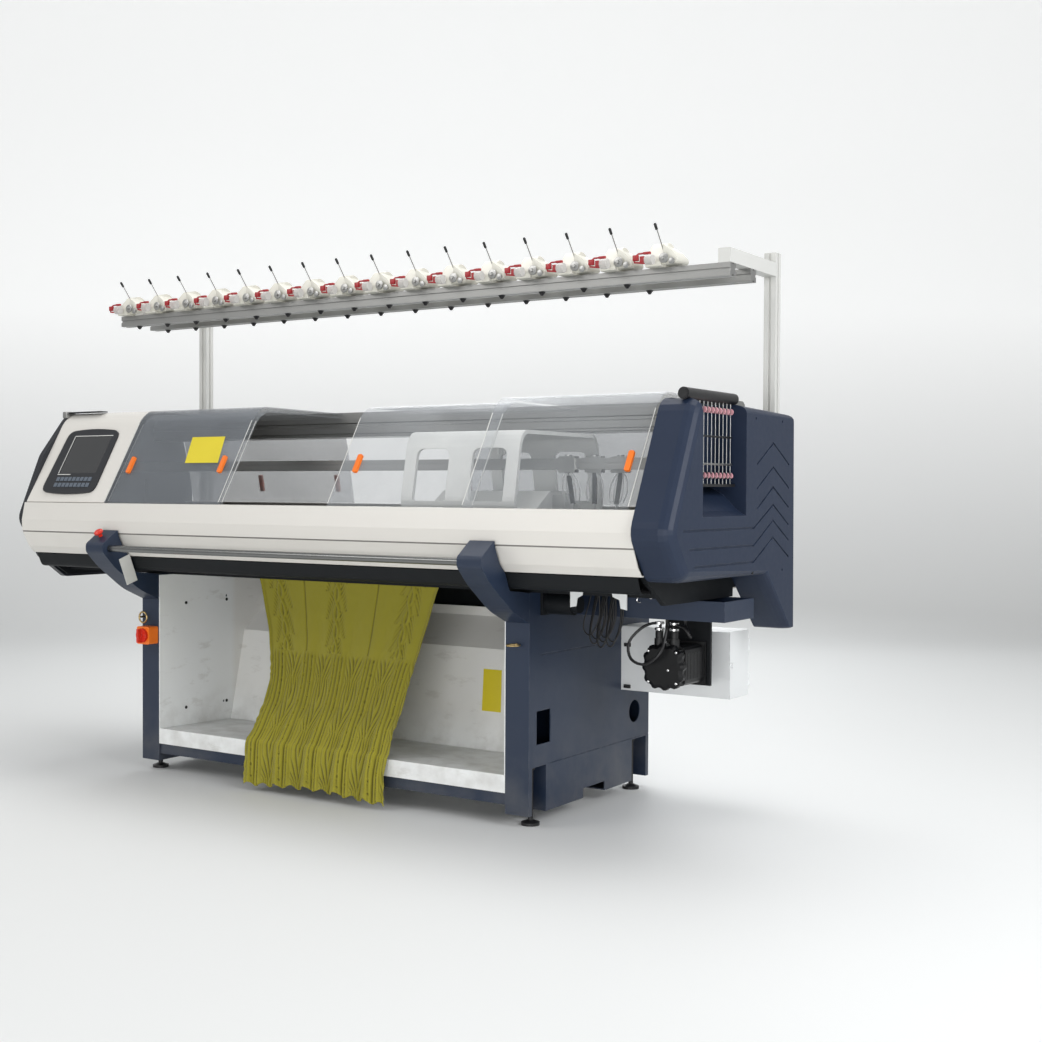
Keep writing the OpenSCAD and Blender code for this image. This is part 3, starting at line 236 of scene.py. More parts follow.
def make_metals():
    return {
        "steel": metal("steel", srgb(176, 176, 174), 0.30, (1, 30, 30)),
        "bar": metal("bar_steel", srgb(132, 133, 132), 0.24, (1, 40, 40)),
        "needles": metal("needle_steel", srgb(150, 152, 154), 0.32, (40, 1, 1), edges=0),
        "aluminium": metal("aluminium", srgb(168, 168, 166), 0.36, (1, 50, 50), 160),
        "brass": metal("brass", srgb(196, 170, 120), 0.3, (30, 30, 1)),
        "chrome": metal("chrome", srgb(222, 222, 222), 0.12, edges=0),
    }


def make_plastics():
    moulding = plastic("navy_moulding", srgb(27, 39, 60), 0.46, 1100, 0.00012, 0.003, Specular_IOR_Level=0.35)
    # Lighter navy along the moulding's edges: a painted highlight on its rounded edges
    moulding.edge_wear_and_highlight(srgb(92, 104, 126), 0.25, 0.004)
    return {
        "moulding": moulding,
        "cap": plastic("cap_moulding", srgb(26, 29, 36), 0.35, 900, 0.0001, 0.003),
        "orange": plastic("orange_plastic", srgb(240, 118, 32), 0.3),
        "rust": plastic("dark_orange_plastic", srgb(182, 82, 42), 0.34),
        "red": plastic("red_plastic", srgb(205, 44, 26), 0.26),
        "black": plastic("black_plastic", srgb(20, 20, 22), 0.42),
        "bezel": plastic("bezel", srgb(26, 28, 33), 0.34),
        "keys": plastic("keys", srgb(88, 97, 108), 0.4),
        "beige": plastic("beige_plastic", srgb(216, 214, 203), 0.36),
        "maroon": plastic("maroon_plastic", srgb(160, 40, 45), 0.32),
        "pink": plastic("pink_plastic", srgb(206, 150, 158), 0.32),
        "yellow": plastic("yellow_film", srgb(214, 196, 40), 0.34, edges=0),
        "rubber": plastic("rubber", srgb(30, 30, 31), 0.66, 500, 0.0002),
        "screen": plastic("screen_glass", srgb(44, 45, 46), 0.12, edges=0, Coat_Weight=0.5,
                          Coat_Roughness=0.05),
        "ink": plastic("black_screw", srgb(12, 13, 15), 0.5, edges=0),
    }


def make_clear_sheets():
    return {
        "clear": clear_sheet("clear_acrylic", srgb(178, 183, 188), 0.08, 0.06),
        "smoked": clear_sheet("smoked_acrylic", srgb(128, 133, 139), 0.2, 0.08),
        "frosted": clear_sheet("frosted_acrylic", srgb(206, 208, 211), 0.36, 0.3),
        "pearl": clear_sheet("pearl_plastic", srgb(206, 204, 200), 0.6, 0.2),
    }


def apron_finish():
    """Cream paint, darker below, with painted shade along the groove line of the front apron."""
    groove_z, groove_half, groove_fade = 0.8455, 0.0018, 0.001
    f = powder_coat("cream_paint", srgb(216, 213, 207), 0.26, 500, 0.002, 0.02)
    # Darker towards the bottom of the apron
    f.tint_below(srgb(150, 146, 138), 0.18, 0.70, 0.86)
    # A dark line at the groove's height on the front: painted shade of the groove
    away = f.math("ABSOLUTE", f.math("SUBTRACT", f.axis("Z"), groove_z))
    groove_shade = f.ramp(away, groove_half, groove_half + groove_fade, 0.8, 0.0)
    front = f.math("LESS_THAN", f.axis("Y"), -MID_Y / 1000)
    return f.paint(f.math("MULTIPLY", groove_shade, front), srgb(84, 82, 78))


def tray_finish():
    """White sheet, set lighter than the white paint as painted light against the shade inside the tray, with
    scuffs, a dirtier floor and painted shade on the leaning back wall, a little darker and warmer.
    """
    # The white is set lighter than the electric box's white paint, to make up for the shade inside the tray:
    # painted light
    f = powder_coat("tray_paint", srgb(234, 236, 235), 0.40, 700, 0.001)
    back_foot, back_top = 353, 380  # Y where the back wall's painted shade begins and is full
    back = f.ramp(f.axis("Y"), (back_foot - MID_Y) / 1000, (back_top - MID_Y) / 1000)
    # Painted shade: the leaning back wall a little darker and warmer
    f.paint(f.math("MULTIPLY", back, 0.35), srgb(214, 208, 198))
    scuff = f.ramp(f.noise(9, 6, (1, 1, 2.6), 0.65), 0.58, 0.68)
    f.paint(f.math("MULTIPLY", scuff, 0.28), srgb(176, 172, 164))
    low = f.ramp(f.axis("Z"), 0.15, 0.30, 1.0, 0.0)
    f.paint(f.math("MULTIPLY", low, f.ramp(f.noise(14, 5), 0.4, 0.75, 0.0, 0.45)), srgb(168, 165, 158))
    return f


def clear_sheet(name, color, alpha, rough):
    """A clear or frosted sheet: more of it shows where it is seen edge on."""
    f = Finish(name, color, rough, IOR=1.49)
    facing = f.node("ShaderNodeLayerWeight", {"Blend": 0.35}).outputs["Facing"]
    haze = f.ramp(f.noise(5, 4), 0.3, 0.7, -0.03, 0.05)
    seen = f.math("ADD", f.ramp(facing, 0.1, 1.0, alpha, min(1.0, alpha + 0.38)), haze)
    f.tree.links.new(seen, f.bsdf.inputs["Alpha"])
    f.gloss(f.noise(18, 4), rough, rough + 0.08)
    return f


def fabric_finish():
    """Knitted wool: columns of stitches over the sheet's own relief, a little fuzz and uneven dye, with painted
    shade between the stitches and in the sheet's hollows.
    """
    f = Finish("knit", srgb(160, 152, 38), 0.85, Sheen_Weight=0.12, Sheen_Roughness=0.5)
    u, v = f.axis("X", "UV"), f.axis("Y", "UV")
    wide, high, slant = 0.0036, 0.0031, 0.0024  # one stitch in metres, and how far its sides slope
    column = f.math("ABSOLUTE", f.math("SINE", f.math("MULTIPLY", u, math.pi / wide)))
    wiggle = f.math("MULTIPLY", f.math("PINGPONG", f.math("MULTIPLY", u, 1 / wide), 0.5), slant)
    row = f.math("ABSOLUTE", f.math("SINE", f.math("MULTIPLY", f.math("ADD", v, wiggle), math.pi / high)))
    stitch = f.math("MULTIPLY", f.math("POWER", column, 0.6), f.math("POWER", row, 0.5))
    # Painted shade between the stitches
    f.paint(f.ramp(stitch, 0.0, 0.6, 0.5, 0.0), srgb(92, 86, 14))
    f.paint(f.ramp(f.noise(6, 5), 0.35, 0.7, 0.0, 0.22), srgb(166, 157, 48))
    # Painted shade in the hollows of the sheet's relief
    hollow_shade = f.node("ShaderNodeNewGeometry").outputs["Pointiness"]
    f.paint(f.ramp(hollow_shade, 0.45, 0.4985, 0.72, 0.0), srgb(72, 66, 8))
    f.bump(stitch, 0.0011, 0.8)
    f.bump(f.noise(1500, 3), 0.0004, 0.4)
    return f


make_camera()
finishes = {**make_paints(), **make_metals(), **make_plastics(), **make_clear_sheets(),
            "fabric": fabric_finish()}


def dress(node, finish):
    """Gives every material slot of a CAD node the same finish."""
    materials = nodes[node].data.materials
    if not materials:
        materials.append(None)
    for i in range(len(materials)):
        materials[i] = finishes[finish].mat


DRESS = {
    "navy": "side_panel_left side_panel_right base_rails base_rear_panel arm_left arm_right motor_bracket",
    "moulding": "right_end_cover",
    "tray": "fabric_tray",
    "white": "electric_box electric_box_door",
    "cream": "apron rear_apron control_housing",
    "dark": "bed_beam oil_trough takedown_motor end_frames",
    "motor": "servo_motor",
    "cap": "left_end_cap",
    "bar": "operating_bar",
    "steel": "carriage_rails feeder_rails pressure_roller drive_pulley idler_pulley side_tensioners",
    "needles": "needle_bed_front needle_bed_rear",
    "aluminium": "top_beam stand_rails",
    "posts": "stand_posts arm_plate",
    "brass": "guide_rings",
    "carriage": "carriage_bridge cam_boxes",
    "red": "stop_button main_switch_knob",
    "orange": "main_switch_body",
    "bezel": "control_panel",
    "black": "tensioner_bar motor_cables levelling_feet yarn_carrier_1 yarn_carrier_2 yarn_carrier_3",
    "rubber": "takedown_roller main_belt",
    "screen": "control_screen",
    "beige": "yarn_units yarn_fittings",
    "fabric": "knitted_fabric",
    "clear": "front_cover_2 front_cover_3 front_cover_4",
    "smoked": "front_cover_1",
    "frosted": "rear_cover_1 rear_cover_2",
}
for finish, names in DRESS.items():
    for name in names.split():
        dress(name, finish)


# Pieces made here

# Faces of a box, from its four lower corners and the four above them
BOX_FACES = [(0, 3, 2, 1), (4, 5, 6, 7), (0, 1, 5, 4), (1, 2, 6, 5), (2, 3, 7, 6), (3, 0, 4, 7)]


class Piece:
    """One mesh, built up in the machine's millimetres and then hung on a CAD body."""

    def __init__(self, name):
        self.name, self.bm = name, bmesh.new()

    def add(self, points, faces):
        verts = [self.bm.verts.new(p) for p in points]
        for f in faces:
            self.bm.faces.new([verts[i] for i in f])
        return verts

    def slab(self, corners, out):
        """A thin slab on four corners of a surface. out is its thickness as a vector."""
        corners = [Vector(c) for c in corners]
        self.add(corners + [c + out for c in corners], BOX_FACES)

    def bevel(self, verts, width):
        edges = list(dict.fromkeys(e for v in verts for e in v.link_edges))
        bmesh.ops.bevel(self.bm, geom=edges, offset=width, segments=2, affect="EDGES", profile=0.6)

    def block(self, low, high, bevel):
        """A box with bevelled edges, between two corners."""
        low, high = Vector(low), Vector(high)
        matrix = Matrix.Translation((low + high) / 2) @ Matrix.Diagonal((*(high - low), 1))
        self.bevel(bmesh.ops.create_cube(self.bm, size=1.0, matrix=matrix)["verts"], bevel)

    def ring(self, middle, u, w, radius, sides):
        """Points round a middle, in the plane of the directions u and w."""
        turns = [2 * math.pi * k / sides for k in range(sides)]
        return [self.bm.verts.new(middle + radius * (math.cos(a) * u + math.sin(a) * w)) for a in turns]

    def skin(self, rings):
        """Faces from ring to ring, and one over each end."""
        sides = len(rings[0])
        for a, b in zip(rings, rings[1:]):
            for k in range(sides):
                self.bm.faces.new((a[k], a[(k + 1) % sides], b[(k + 1) % sides], b[k]))
        self.bm.faces.new(rings[0][::-1])
        self.bm.faces.new(rings[-1])

    def turned(self, middle, axis, profile, sides):
        """A solid of revolution: profile holds (distance along the axis, radius) pairs."""
        axis = Vector(axis).normalized()
        u = axis.orthogonal().normalized()
        w = axis.cross(u)
        middle = Vector(middle)
        self.skin([self.ring(middle + axis * along, u, w, radius, sides) for along, radius in profile])

    def tube(self, path, radius, sides):
        """A round bar or wire along a line of points."""
        path = [Vector(p) for p in path]
        side = (path[1] - path[0]).orthogonal().normalized()
        rings = []
        for i, p in enumerate(path):
            along = (path[min(i + 1, len(path) - 1)] - path[max(i - 1, 0)]).normalized()
            side = (side - along * side.dot(along)).normalized()
            rings.append(self.ring(p, side, along.cross(side), radius, sides))
        self.skin(rings)

    def hang(self, finish, body, slot, smooth=True):
        """Finishes the piece and lets it ride on a body of the frame."""
        bmesh.ops.recalc_face_normals(self.bm, faces=self.bm.faces)
        for v in self.bm.verts:
            v.co = at(*v.co)
        mesh = bpy.data.meshes.new(self.name)
        self.bm.to_mesh(mesh)
        self.bm.free()
        for polygon in mesh.polygons:
            polygon.use_smooth = smooth
        if smooth:
            mesh.set_sharp_from_angle(angle=math.radians(40))
        mesh.materials.append(finishes[finish].mat)
        o = bpy.data.objects.new(self.name, mesh)
        bpy.context.scene.collection.objects.link(o)
        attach(o, body)


def smooth_line(points, steps):
    """A smooth line through the points."""
    points = [Vector(p) for p in points]
    line = []
    for i in range(len(points) - 1):
        a, b, c, d = points[max(i - 1, 0)], points[i], points[i + 1], points[min(i + 2, len(points) - 1)]
        for k in range(steps):
            t = k / steps
            line.append(0.5 * (2 * b + (c - a) * t + (2 * a - 5 * b + 4 * c - d) * t * t
                               + (3 * b - a - 3 * c + d) * t ** 3))
    return line + [points[-1]]


def paint_where(node, finish, test):
    """Gives the faces of a CAD node whose middle passes the test a finish of their own."""
    o = nodes[node]
    o.data.materials.append(finishes[finish].mat)
    index = len(o.data.materials) - 1
    for polygon in o.data.polygons:
        c = polygon.center
        if test(c.x * 1000 + MID_X, c.y * 1000 + MID_Y, c.z * 1000):
            polygon.material_index = index


# Parts of the CAD nodes with a finish of their own

# The hood's slope in Y and Z on its inner track, 0. Its outer track, 1, lies before and above it
HOOD_FOOT, HOOD_EDGE = (-148, 952.4), (22, 1243)
TRACK_STEP, TRACK_RISE = 12, 7


def hood_slope(track):
    """Foot of the hood's slope in Y and Z, and its angle."""
    foot = (HOOD_FOOT[0] - TRACK_STEP * track, HOOD_FOOT[1])
    edge = (HOOD_EDGE[0] - TRACK_STEP * track, HOOD_EDGE[1] + TRACK_RISE * track)
    return foot, math.atan2(edge[1] - foot[1], edge[0] - foot[0])


def above_slope(track, y, z):
    """Height above the hood's slope in millimetres."""
    foot, a = hood_slope(track)
    return (z - foot[1]) * math.cos(a) - (y - foot[0]) * math.sin(a)


def slope_point(track, x, along, above):
    """A point of the machine in millimetres, from its X, distance up the hood's slope and height above it."""
    foot, a = hood_slope(track)
    return (x, foot[0] + along * math.cos(a) - above * math.sin(a),
            foot[1] + along * math.sin(a) + above * math.cos(a))


def slope_out(track):
    """The direction straight off the hood's slope."""
    return Vector(slope_point(track, 0, 0, 1)) - Vector(slope_point(track, 0, 0, 0))


# Covers with the X of their handles, the front ones with their track too
FRONT_HANDLES = {"front_cover_1": (1, (43, 482)), "front_cover_3": (0, (1052,)),
                 "front_cover_4": (1, (2020,))}
REAR_HANDLES = {"rear_cover_1": (-27, 363), "rear_cover_2": (973,)}
HANDLE_HALF = 10
REAR_FOOT, REAR_LEAN = (648, 951), 0.193  # Y and Z where the rear covers' face starts, and its lean
REAR_GRIP = (985, 1062)  # lowest and highest Z of the rear handles


def near_handle(x, handles):
    return any(abs(x - handle) < HANDLE_HALF for handle in handles)


def behind_cover(y, z):
    """Distance in millimetres behind the rear covers' outer face."""
    return y - REAR_FOOT[0] + REAR_LEAN * (z - REAR_FOOT[1])


for node, (track, handles) in FRONT_HANDLES.items():
    paint_where(node, "orange", lambda x, y, z: above_slope(track, y, z) > 0.3 and near_handle(x, handles))
for node, handles in REAR_HANDLES.items():
    paint_where(node, "rust", lambda x, y, z: behind_cover(y, z) > 0.4 and REAR_GRIP[0] < z < REAR_GRIP[1]
                and near_handle(x, handles))
KEY_FOOT = 6.4  # the keys stand this high above the hood's slope
paint_where("control_panel", "keys", lambda x, y, z: above_slope(1, y, z) > KEY_FOOT)

# Yarn control units: first one's X, distance from one to the next, number and Z
UNIT_X0, UNIT_PITCH, UNITS, UNIT_Z = -497, 157, 16, 1685


def from_unit(x):
    """X from the middle of the nearest yarn unit."""
    return (x - UNIT_X0 + UNIT_PITCH / 2) % UNIT_PITCH - UNIT_PITCH / 2


EYELET_TOP = 1646
LEVER_X, KNOB_HALF, KNOB_Y, DISC_X = -26.5, 12.5, 341, 16  # X from the unit's middle, and the knob's rear Y
paint_where("yarn_fittings", "black", lambda x, y, z: z < EYELET_TOP)
paint_where("yarn_fittings", "maroon", lambda x, y, z: z > EYELET_TOP and from_unit(x) < LEVER_X)
paint_where("yarn_fittings", "pearl", lambda x, y, z: z > EYELET_TOP and abs(from_unit(x)) < KNOB_HALF
            and y < KNOB_Y)
paint_where("yarn_fittings", "steel", lambda x, y, z: z > EYELET_TOP and from_unit(x) > DISC_X)

WIRE_X = 2158
BEAD_ROWS = ((1220, 1240, 2), (1036, 1056, 3.5))  # from Z to Z, and how far a bead stands off the wire's middle
CROSS_BAR, FRAME_FOOT = (1152, 1160), 1023  # the bar's lowest and highest Z, and the frame's foot
paint_where("side_tensioners", "pink", lambda x, y, z: any(
    low < z < high and abs(x - WIRE_X) > off for low, high, off in BEAD_ROWS))
paint_where("side_tensioners", "black", lambda x, y, z: CROSS_BAR[0] < z < CROSS_BAR[1] or z < FRAME_FOOT)

CONNECTOR_Z, PLATE_Z = 532, 621
paint_where("servo_motor", "ink", lambda x, y, z: z > CONNECTOR_Z)
paint_where("motor_bracket", "dark", lambda x, y, z: z < PLATE_Z)

TUBE_TIP_Z, SLIDER_Z = 978, 1062
for number in (1, 2, 3):
    paint_where("yarn_carrier_%d" % number, "white", lambda x, y, z: z < TUBE_TIP_Z)
    paint_where("yarn_carrier_%d" % number, "steel", lambda x, y, z: z > SLIDER_Z)


# Knitted fabric, from between the beds, through the rollers, over the tray's lip and down to the floor

# Each row is (Y, Z, left edge X, right edge X)
FABRIC_ROWS = [(240, 934, 350, 1148), (240, 800, 350, 1148), (240, 747, 350, 1148), (240, 723, 350, 1148),
               (232, 700, 350, 1148), (230, 660, 362, 1136), (222, 600, 384, 1119), (208, 540, 412, 1106),
               (186, 480, 444, 1099), (158, 420, 473, 1096), (126, 360, 500, 1096), (92, 305, 521, 1100),
               (56, 250, 533, 1108), (24, 196, 531, 1117), (4, 164, 527, 1124), (-2.6, 154, 524, 1123),
               (-6, 140, 524, 1122), (-14, 110, 532, 1121), (-24, 76, 542, 1125), (-34, 46, 551, 1132),
               (-42, 25, 558, 1138), (-46, 10, 563, 1143)]
FABRIC_WIDTH = 0.80
FABRIC_THICK = 2.6
FREE_V, FOLD_V = 0.225, 0.26  # where the sheet leaves the rollers and its folds begin, along it in metres
BORDER_V = 0.50  # where the leaf pattern ends and the lace begins
LIP_V, FLOOR_V = 0.69, 0.90  # where the sheet reaches the tray's lip, and where it is well below it
HEM = 0.06
# Places across the sheet are shares of its width, lengths are in metres
GROOVES = (0.257, 0.679)
CABLES = ((0.11, 1), (0.45, 1), (0.87, -1))  # place, and the way that the leaves' ribs slant
CABLE_HALF, CABLE_PITCH, LEAF_PITCH, RIB_PITCH = 0.011, 0.13, 0.095, 0.019
LACE_PERIOD, LACE_START = 0.172, 0.036
LACE_RIBS = ((-0.028, 4.6), (-0.011, 5.6), (0.009, 5.6), (0.026, 4.4))  # place, height in millimetres
EYELETS, EYELET_PITCH = (-0.019, 0.017), 0.047
FAN_HALF, FAN_PITCH, FAN_RIB = 0.046, 0.19, 0.029


def clamp(value):
    return max(0.0, min(1.0, value))


def ridge(x, width):
    """A rounded rib across x, 1 at its middle and 0 beyond its width."""
    x = abs(x) / width
    return math.cos(x * math.pi / 2) ** 2 if x < 1 else 0.0


def cable(x, v, pitch, half):
    """Two strands that cross each other along v."""
    swing = half * math.sin(2 * math.pi * v / pitch)
    over = math.cos(2 * math.pi * v / pitch)
    return max(ridge(x - swing, half * 0.75) * (1 + 0.35 * over),
               ridge(x + swing, half * 0.75) * (1 - 0.35 * over))


def leaf_relief(u, v):
    """Grooves, cables and leaves of the upper part, in millimetres."""
    h = 0.0
    for place in GROOVES:
        h -= 4.2 * ridge(u - place * FABRIC_WIDTH, 0.0055)
    for place, way in CABLES:
        middle = place * FABRIC_WIDTH
        h += 4.4 * cable(u - middle, v, CABLE_PITCH, CABLE_HALF)
        # leaves to both sides of the cable: sunken feathers with slanted ribs
        for s in (-1, 1):
            d = (u - middle) * s - 0.016
            if 0 < d < 0.052:
                phase = (v + 0.03 * (s > 0)) / LEAF_PITCH % 1
                inside = ridge(d - 0.030 * phase, 0.026 * (1 - 0.5 * phase))
                slant = math.sin((v + d * 1.6 * way) * 2 * math.pi / RIB_PITCH)
                h += inside * (-2.4 + 2.3 * slant)
    return h


def lace_relief(u, v):
    """Rib columns with eyelets and fans between them of the lower part, in millimetres."""
    h = 0.0
    w = (u + LACE_START) % LACE_PERIOD - LACE_PERIOD / 2
    into = min(1.0, (v - BORDER_V) / 0.02)
    for place, tall in LACE_RIBS:
        h += into * tall * ridge(w - place, 0.0075)
    for place in EYELETS:
        hole = ridge((v / EYELET_PITCH + (place > 0) * 0.5) % 1 - 0.5, 0.16)
        h -= into * 7.5 * ridge(w - place, 0.0055) * hole
    d = abs(abs(w) - LACE_PERIOD / 2)
    if d < FAN_HALF:
        turn = (v - BORDER_V) / FAN_PITCH % 1
        spread = 0.42 + 0.55 * abs(turn - 0.5) * 2
        fan = math.sin((d / spread + 0.30 * v) * 2 * math.pi / FAN_RIB)
        h += into * 3.6 * (1 - d / FAN_HALF) ** 0.4 * fan
    return h


def knit_relief(u, v):
    """Height of the knitted pattern in millimetres at u across and v along the sheet, both in metres."""
    h = leaf_relief(u, v) if v < BORDER_V else lace_relief(u, v)
    return h + 0.5 * noise.noise(Vector((u * 60, v * 42, 3.1)))  # puckered stitches


def fabric_fold(u, v, length):
    """Soft folds that grow towards the hem, in millimetres towards the front."""
    drop = clamp((v - FOLD_V) / (length - FOLD_V))
    t = u / FABRIC_WIDTH
    wave = (math.sin(2 * math.pi * (4.6 * t + 0.25 * v))
            + 0.5 * math.sin(2 * math.pi * (9.3 * t + 0.9 * v) + 1.1)
            + 0.35 * noise.noise(Vector((t * 9, v * 4, 0.5))))
    return drop ** 1.1 * (7.5 + 8.5 * drop ** 3) * wave


class FabricPath:
    """The sheet's middle line in Y and Z and the X of its edges, all along its length."""

    def __init__(self):
        self.line = smooth_line([(y, z, 0) for y, z, _, _ in FABRIC_ROWS], 8)
        self.edges = smooth_line([(left, right, 0) for _, _, left, right in FABRIC_ROWS], 8)
        self.run = [0.0]
        for p, q in zip(self.line, self.line[1:]):
            self.run.append(self.run[-1] + (q - p).length)
        self.length = self.run[-1] / 1000

    def sample(self, v):
        """The middle line's point, its normal and the edges' X at v metres along the sheet."""
        target = min(max(v, 0.0) * 1000, self.run[-1] - 0.001)
        i = min(bisect_right(self.run, target) - 1, len(self.run) - 2)
        t = (target - self.run[i]) / (self.run[i + 1] - self.run[i])
        along = (self.line[min(i + 2, len(self.line) - 1)] - self.line[max(i - 1, 0)]).normalized()
        return (self.line[i].lerp(self.line[i + 1], t), Vector((along.y, -along.x)),
                self.edges[i].lerp(self.edges[i + 1], t))

    def surface(self, u, v, side):
        """A point on one face of the sheet, the front one where side is 1 and the rear one where it is -1."""
        p, normal, edges = self.sample(v)
        t = u / FABRIC_WIDTH
        rim = min(t, 1 - t)
        free = clamp((v - FREE_V) / 0.03)
        x = edges.x + (edges.y - edges.x) * t
        # the selvedge curls a little and wanders
        curl = free * 6.0 * max(0.0, 1 - rim / 0.02) ** 2
        x += free * 5.0 * noise.noise(Vector((0.3 if t < 0.5 else 7.7, v * 9, 0))) * max(0.0, 1 - rim / 0.15)
        fold = fabric_fold(u, v, self.length)
        over_lip = clamp((v - LIP_V) / 0.06)
        if over_lip:  # folds only outward over the tray's lip
            fold += over_lip * (5.5 + 0.75 * (abs(fold) - fold))
        out = free * (fold + knit_relief(u, v) + curl)
        if over_lip == 1:
            out = max(out, -0.6 if v < FLOOR_V else -6)
        out += side * FABRIC_THICK / 2
        y, z = p.x + normal.x * out, p.y + normal.y * out
        if v > self.length - HEM:
            scallop = (v - self.length + HEM) / HEM
            z += scallop * 13 * (0.5 + 0.5 * math.sin(2 * math.pi * t * 9.5 + 0.8 * math.sin(7 * t)))
            z += scallop * 16 * (1 - abs(2 * t - 1)) ** 0.7
        return at(x, y, max(z, 3.5))


def make_fabric():
    across, along = 220, 300  # columns and rows of the front face's grid, both even
    path = FabricPath()
    length = path.length
    mesh = bpy.data.meshes.new("knitted_sheet")
    bm = bmesh.new()
    uv = bm.loops.layers.uv.new("knit")
    place = {}

    def grid(side, step):
        """Points of one face of the sheet, at every step-th column and row."""
        rows = []
        for j in range(0, along + 1, step):
            rows.append([])
            for i in range(0, across + 1, step):
                u, v = FABRIC_WIDTH * i / across, length * j / along
                vert = bm.verts.new(path.surface(u, v, side))
                place[vert] = (u, v)
                rows[-1].append(vert)
        return rows

    front, rear = grid(1, 1), grid(-1, 2)
    for rows, turn in ((front, 1), (rear, -1)):
        for low, high in zip(rows, rows[1:]):
            for i in range(len(low) - 1):
                bm.faces.new((low[i], high[i], high[i + 1], low[i + 1])[::turn])
    rims = [(front[0], rear[0], 1), (front[-1], rear[-1], -1),
            ([row[0] for row in front], [row[0] for row in rear], -1),
            ([row[-1] for row in front], [row[-1] for row in rear], 1)]
    for fine_rim, coarse_rim, turn in rims:
        for k in range(len(coarse_rim) - 1):
            bm.faces.new((*fine_rim[2 * k:2 * k + 3], coarse_rim[k + 1], coarse_rim[k])[::turn])
    for face in bm.faces:
        face.smooth = True
        for loop in face.loops:
            loop[uv].uv = place[loop.vert]
    area = sum(f.calc_area() for f in bm.faces) / 2
    bm.to_mesh(mesh)
    bm.free()
    mesh.materials.append(finishes["fabric"].mat)
    o = bpy.data.objects.new("knitted_sheet", mesh)
    bpy.context.scene.collection.objects.link(o)
    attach(o, "machine")
    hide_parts("knitted_fabric")


make_fabric()


# Small pieces on the machine

def make_label(name, corners, body, slot):
    """A thin blank label with its four corners on a surface."""
    a, b, _, d = (Vector(p) for p in corners)
    piece = Piece(name)
    piece.slab(corners, (b - a).cross(d - a).normalized() * 0.5)
    piece.hang("yellow", body, slot, smooth=False)


def make_labels():
    cover = [slope_point(1, x, along, 0.1) for x, along in ((299, 157), (454, 157), (438, 260), (284, 260))]
    make_label("cover_label", cover, "front_cover_1", "clear")
    wall = [(1211, 379.4, 266), (1287, 379.4, 266), (1271, 408.6, 402), (1198, 408.6, 402)]
    make_label("wall_label", wall, "machine", "white_paint")


SIDE_SCREW = [(-3, 4.2), (0.5, 4.2), (1.2, 3.4), (1.2, 2.0), (-0.8, 1.8)]
TRAY_SCREW = [(-1.5, 6.0), (1.2, 5.8), (1.8, 4.6), (1.8, 2.8), (0.6, 2.4)]


def make_screws():
    """Black screws of the end cover and of the tray's side walls."""
    end_x, wall_xs = 2196, ((87.2, 1), (1552.8, -1))
    p = Piece("panel_screws")
    for y, z in ((350, 1215), (549, 1214), (342, 763), (555, 763)):
        p.turned((end_x, y, z), (1, 0, 0), SIDE_SCREW, 12)
    for y in (126, 330):
        for z in (590, 211):
            for x, way in wall_xs:
                p.turned((x, y, z), (way, 0, 0), TRAY_SCREW, 12)
    p.hang("ink", "machine", "black_plastic")


MOTOR = (1950, 250, 478)  # middle of the servo motor's front face
MOTOR_HALF = 59
MOTOR_SCREW = [(-1, 4.4), (2.2, 4.2), (3, 3.2), (3, 2.2), (1.2, 2.0)]
CONNECTOR_RING = [(-4, 12.6), (-3, 14.2), (3, 14.2), (4, 12.6)]


def make_motor_flange():
    """The jagged round flange at the front of the servo motor."""
    x, y, z = MOTOR
    points = []
    for k in range(48):
        a = 2 * math.pi * k / 48
        r = 66 + (4.5 if k % 4 < 2 else -1.5)
        squared = max(abs(math.cos(a)), abs(math.sin(a))) * 0.35 + 0.65
        points.append((r * math.cos(a) / squared, r * math.sin(a) / squared))
    n = len(points)
    rings = [[(x + a * share, y + dy, z + b * share) for a, b in points]
             for dy, share in ((-2, 0.84), (5, 1), (20, 1))]
    faces = [tuple(range(n))[::-1], tuple(range(2 * n, 3 * n))]
    for k in range(n):
        j = (k + 1) % n
        faces += [(k, j, n + j, n + k), (n + k, n + j, 2 * n + j, 2 * n + k)]
    p = Piece("motor_flange")
    p.add(rings[0] + rings[1] + rings[2], faces)
    p.hang("motor", "machine", "dark_paint", smooth=False)


def make_motor_trim():
    """Screws, connector rings and cooling fins of the servo motor."""
    x, y, z = MOTOR
    p = Piece("motor_screws")
    for a, b in ((-46, -46), (46, -46), (46, 46), (-46, 46), (20, -8)):
        p.turned((x + a, y - 2, z + b), (0, -1, 0), MOTOR_SCREW, 12)
    for dx in (-26, 24):
        for rise in (588, 606):
            p.turned((x + dx, y + 30, rise), (0, 0, 1), CONNECTOR_RING, 24)
    p.hang("chrome", "machine", "steel")
    p = Piece("motor_fins")
    for k in range(5):
        front = y + 48 + 22 * k
        for middle in (x - MOTOR_HALF, x + MOTOR_HALF):
            p.block((middle - 0.6, front, z - 40), (middle + 0.6, front + 4, z + 40), 0.3)
    p.hang("motor", "machine", "dark_paint", smooth=False)


def make_latches():
    """Latches of the electric box's door."""
    p = Piece("box_latches")
    for z in (499, 363):
        p.block((1652, 554, z - 6), (1676, 560.5, z + 6), 1.5)
        p.block((1660, 549, z - 2), (1668, 555, z + 2), 1)
    p.hang("ink", "machine", "black_plastic")


def make_retaining_rings():
    """Bright open rings in front of the motor's bracket."""
    p = Piece("retaining_rings")
    for x, z, start in ((1883, 676, 40), (1922, 690, 200), (1962, 684, 120), (1832, 660, 300)):
        turns = [math.radians(start + a) for a in range(0, 271, 18)]
        p.tube([(x + 8 * math.cos(a), 228.6, z + 8 * math.sin(a)) for a in turns], 1.8, 6)
    p.hang("chrome", "machine", "steel")


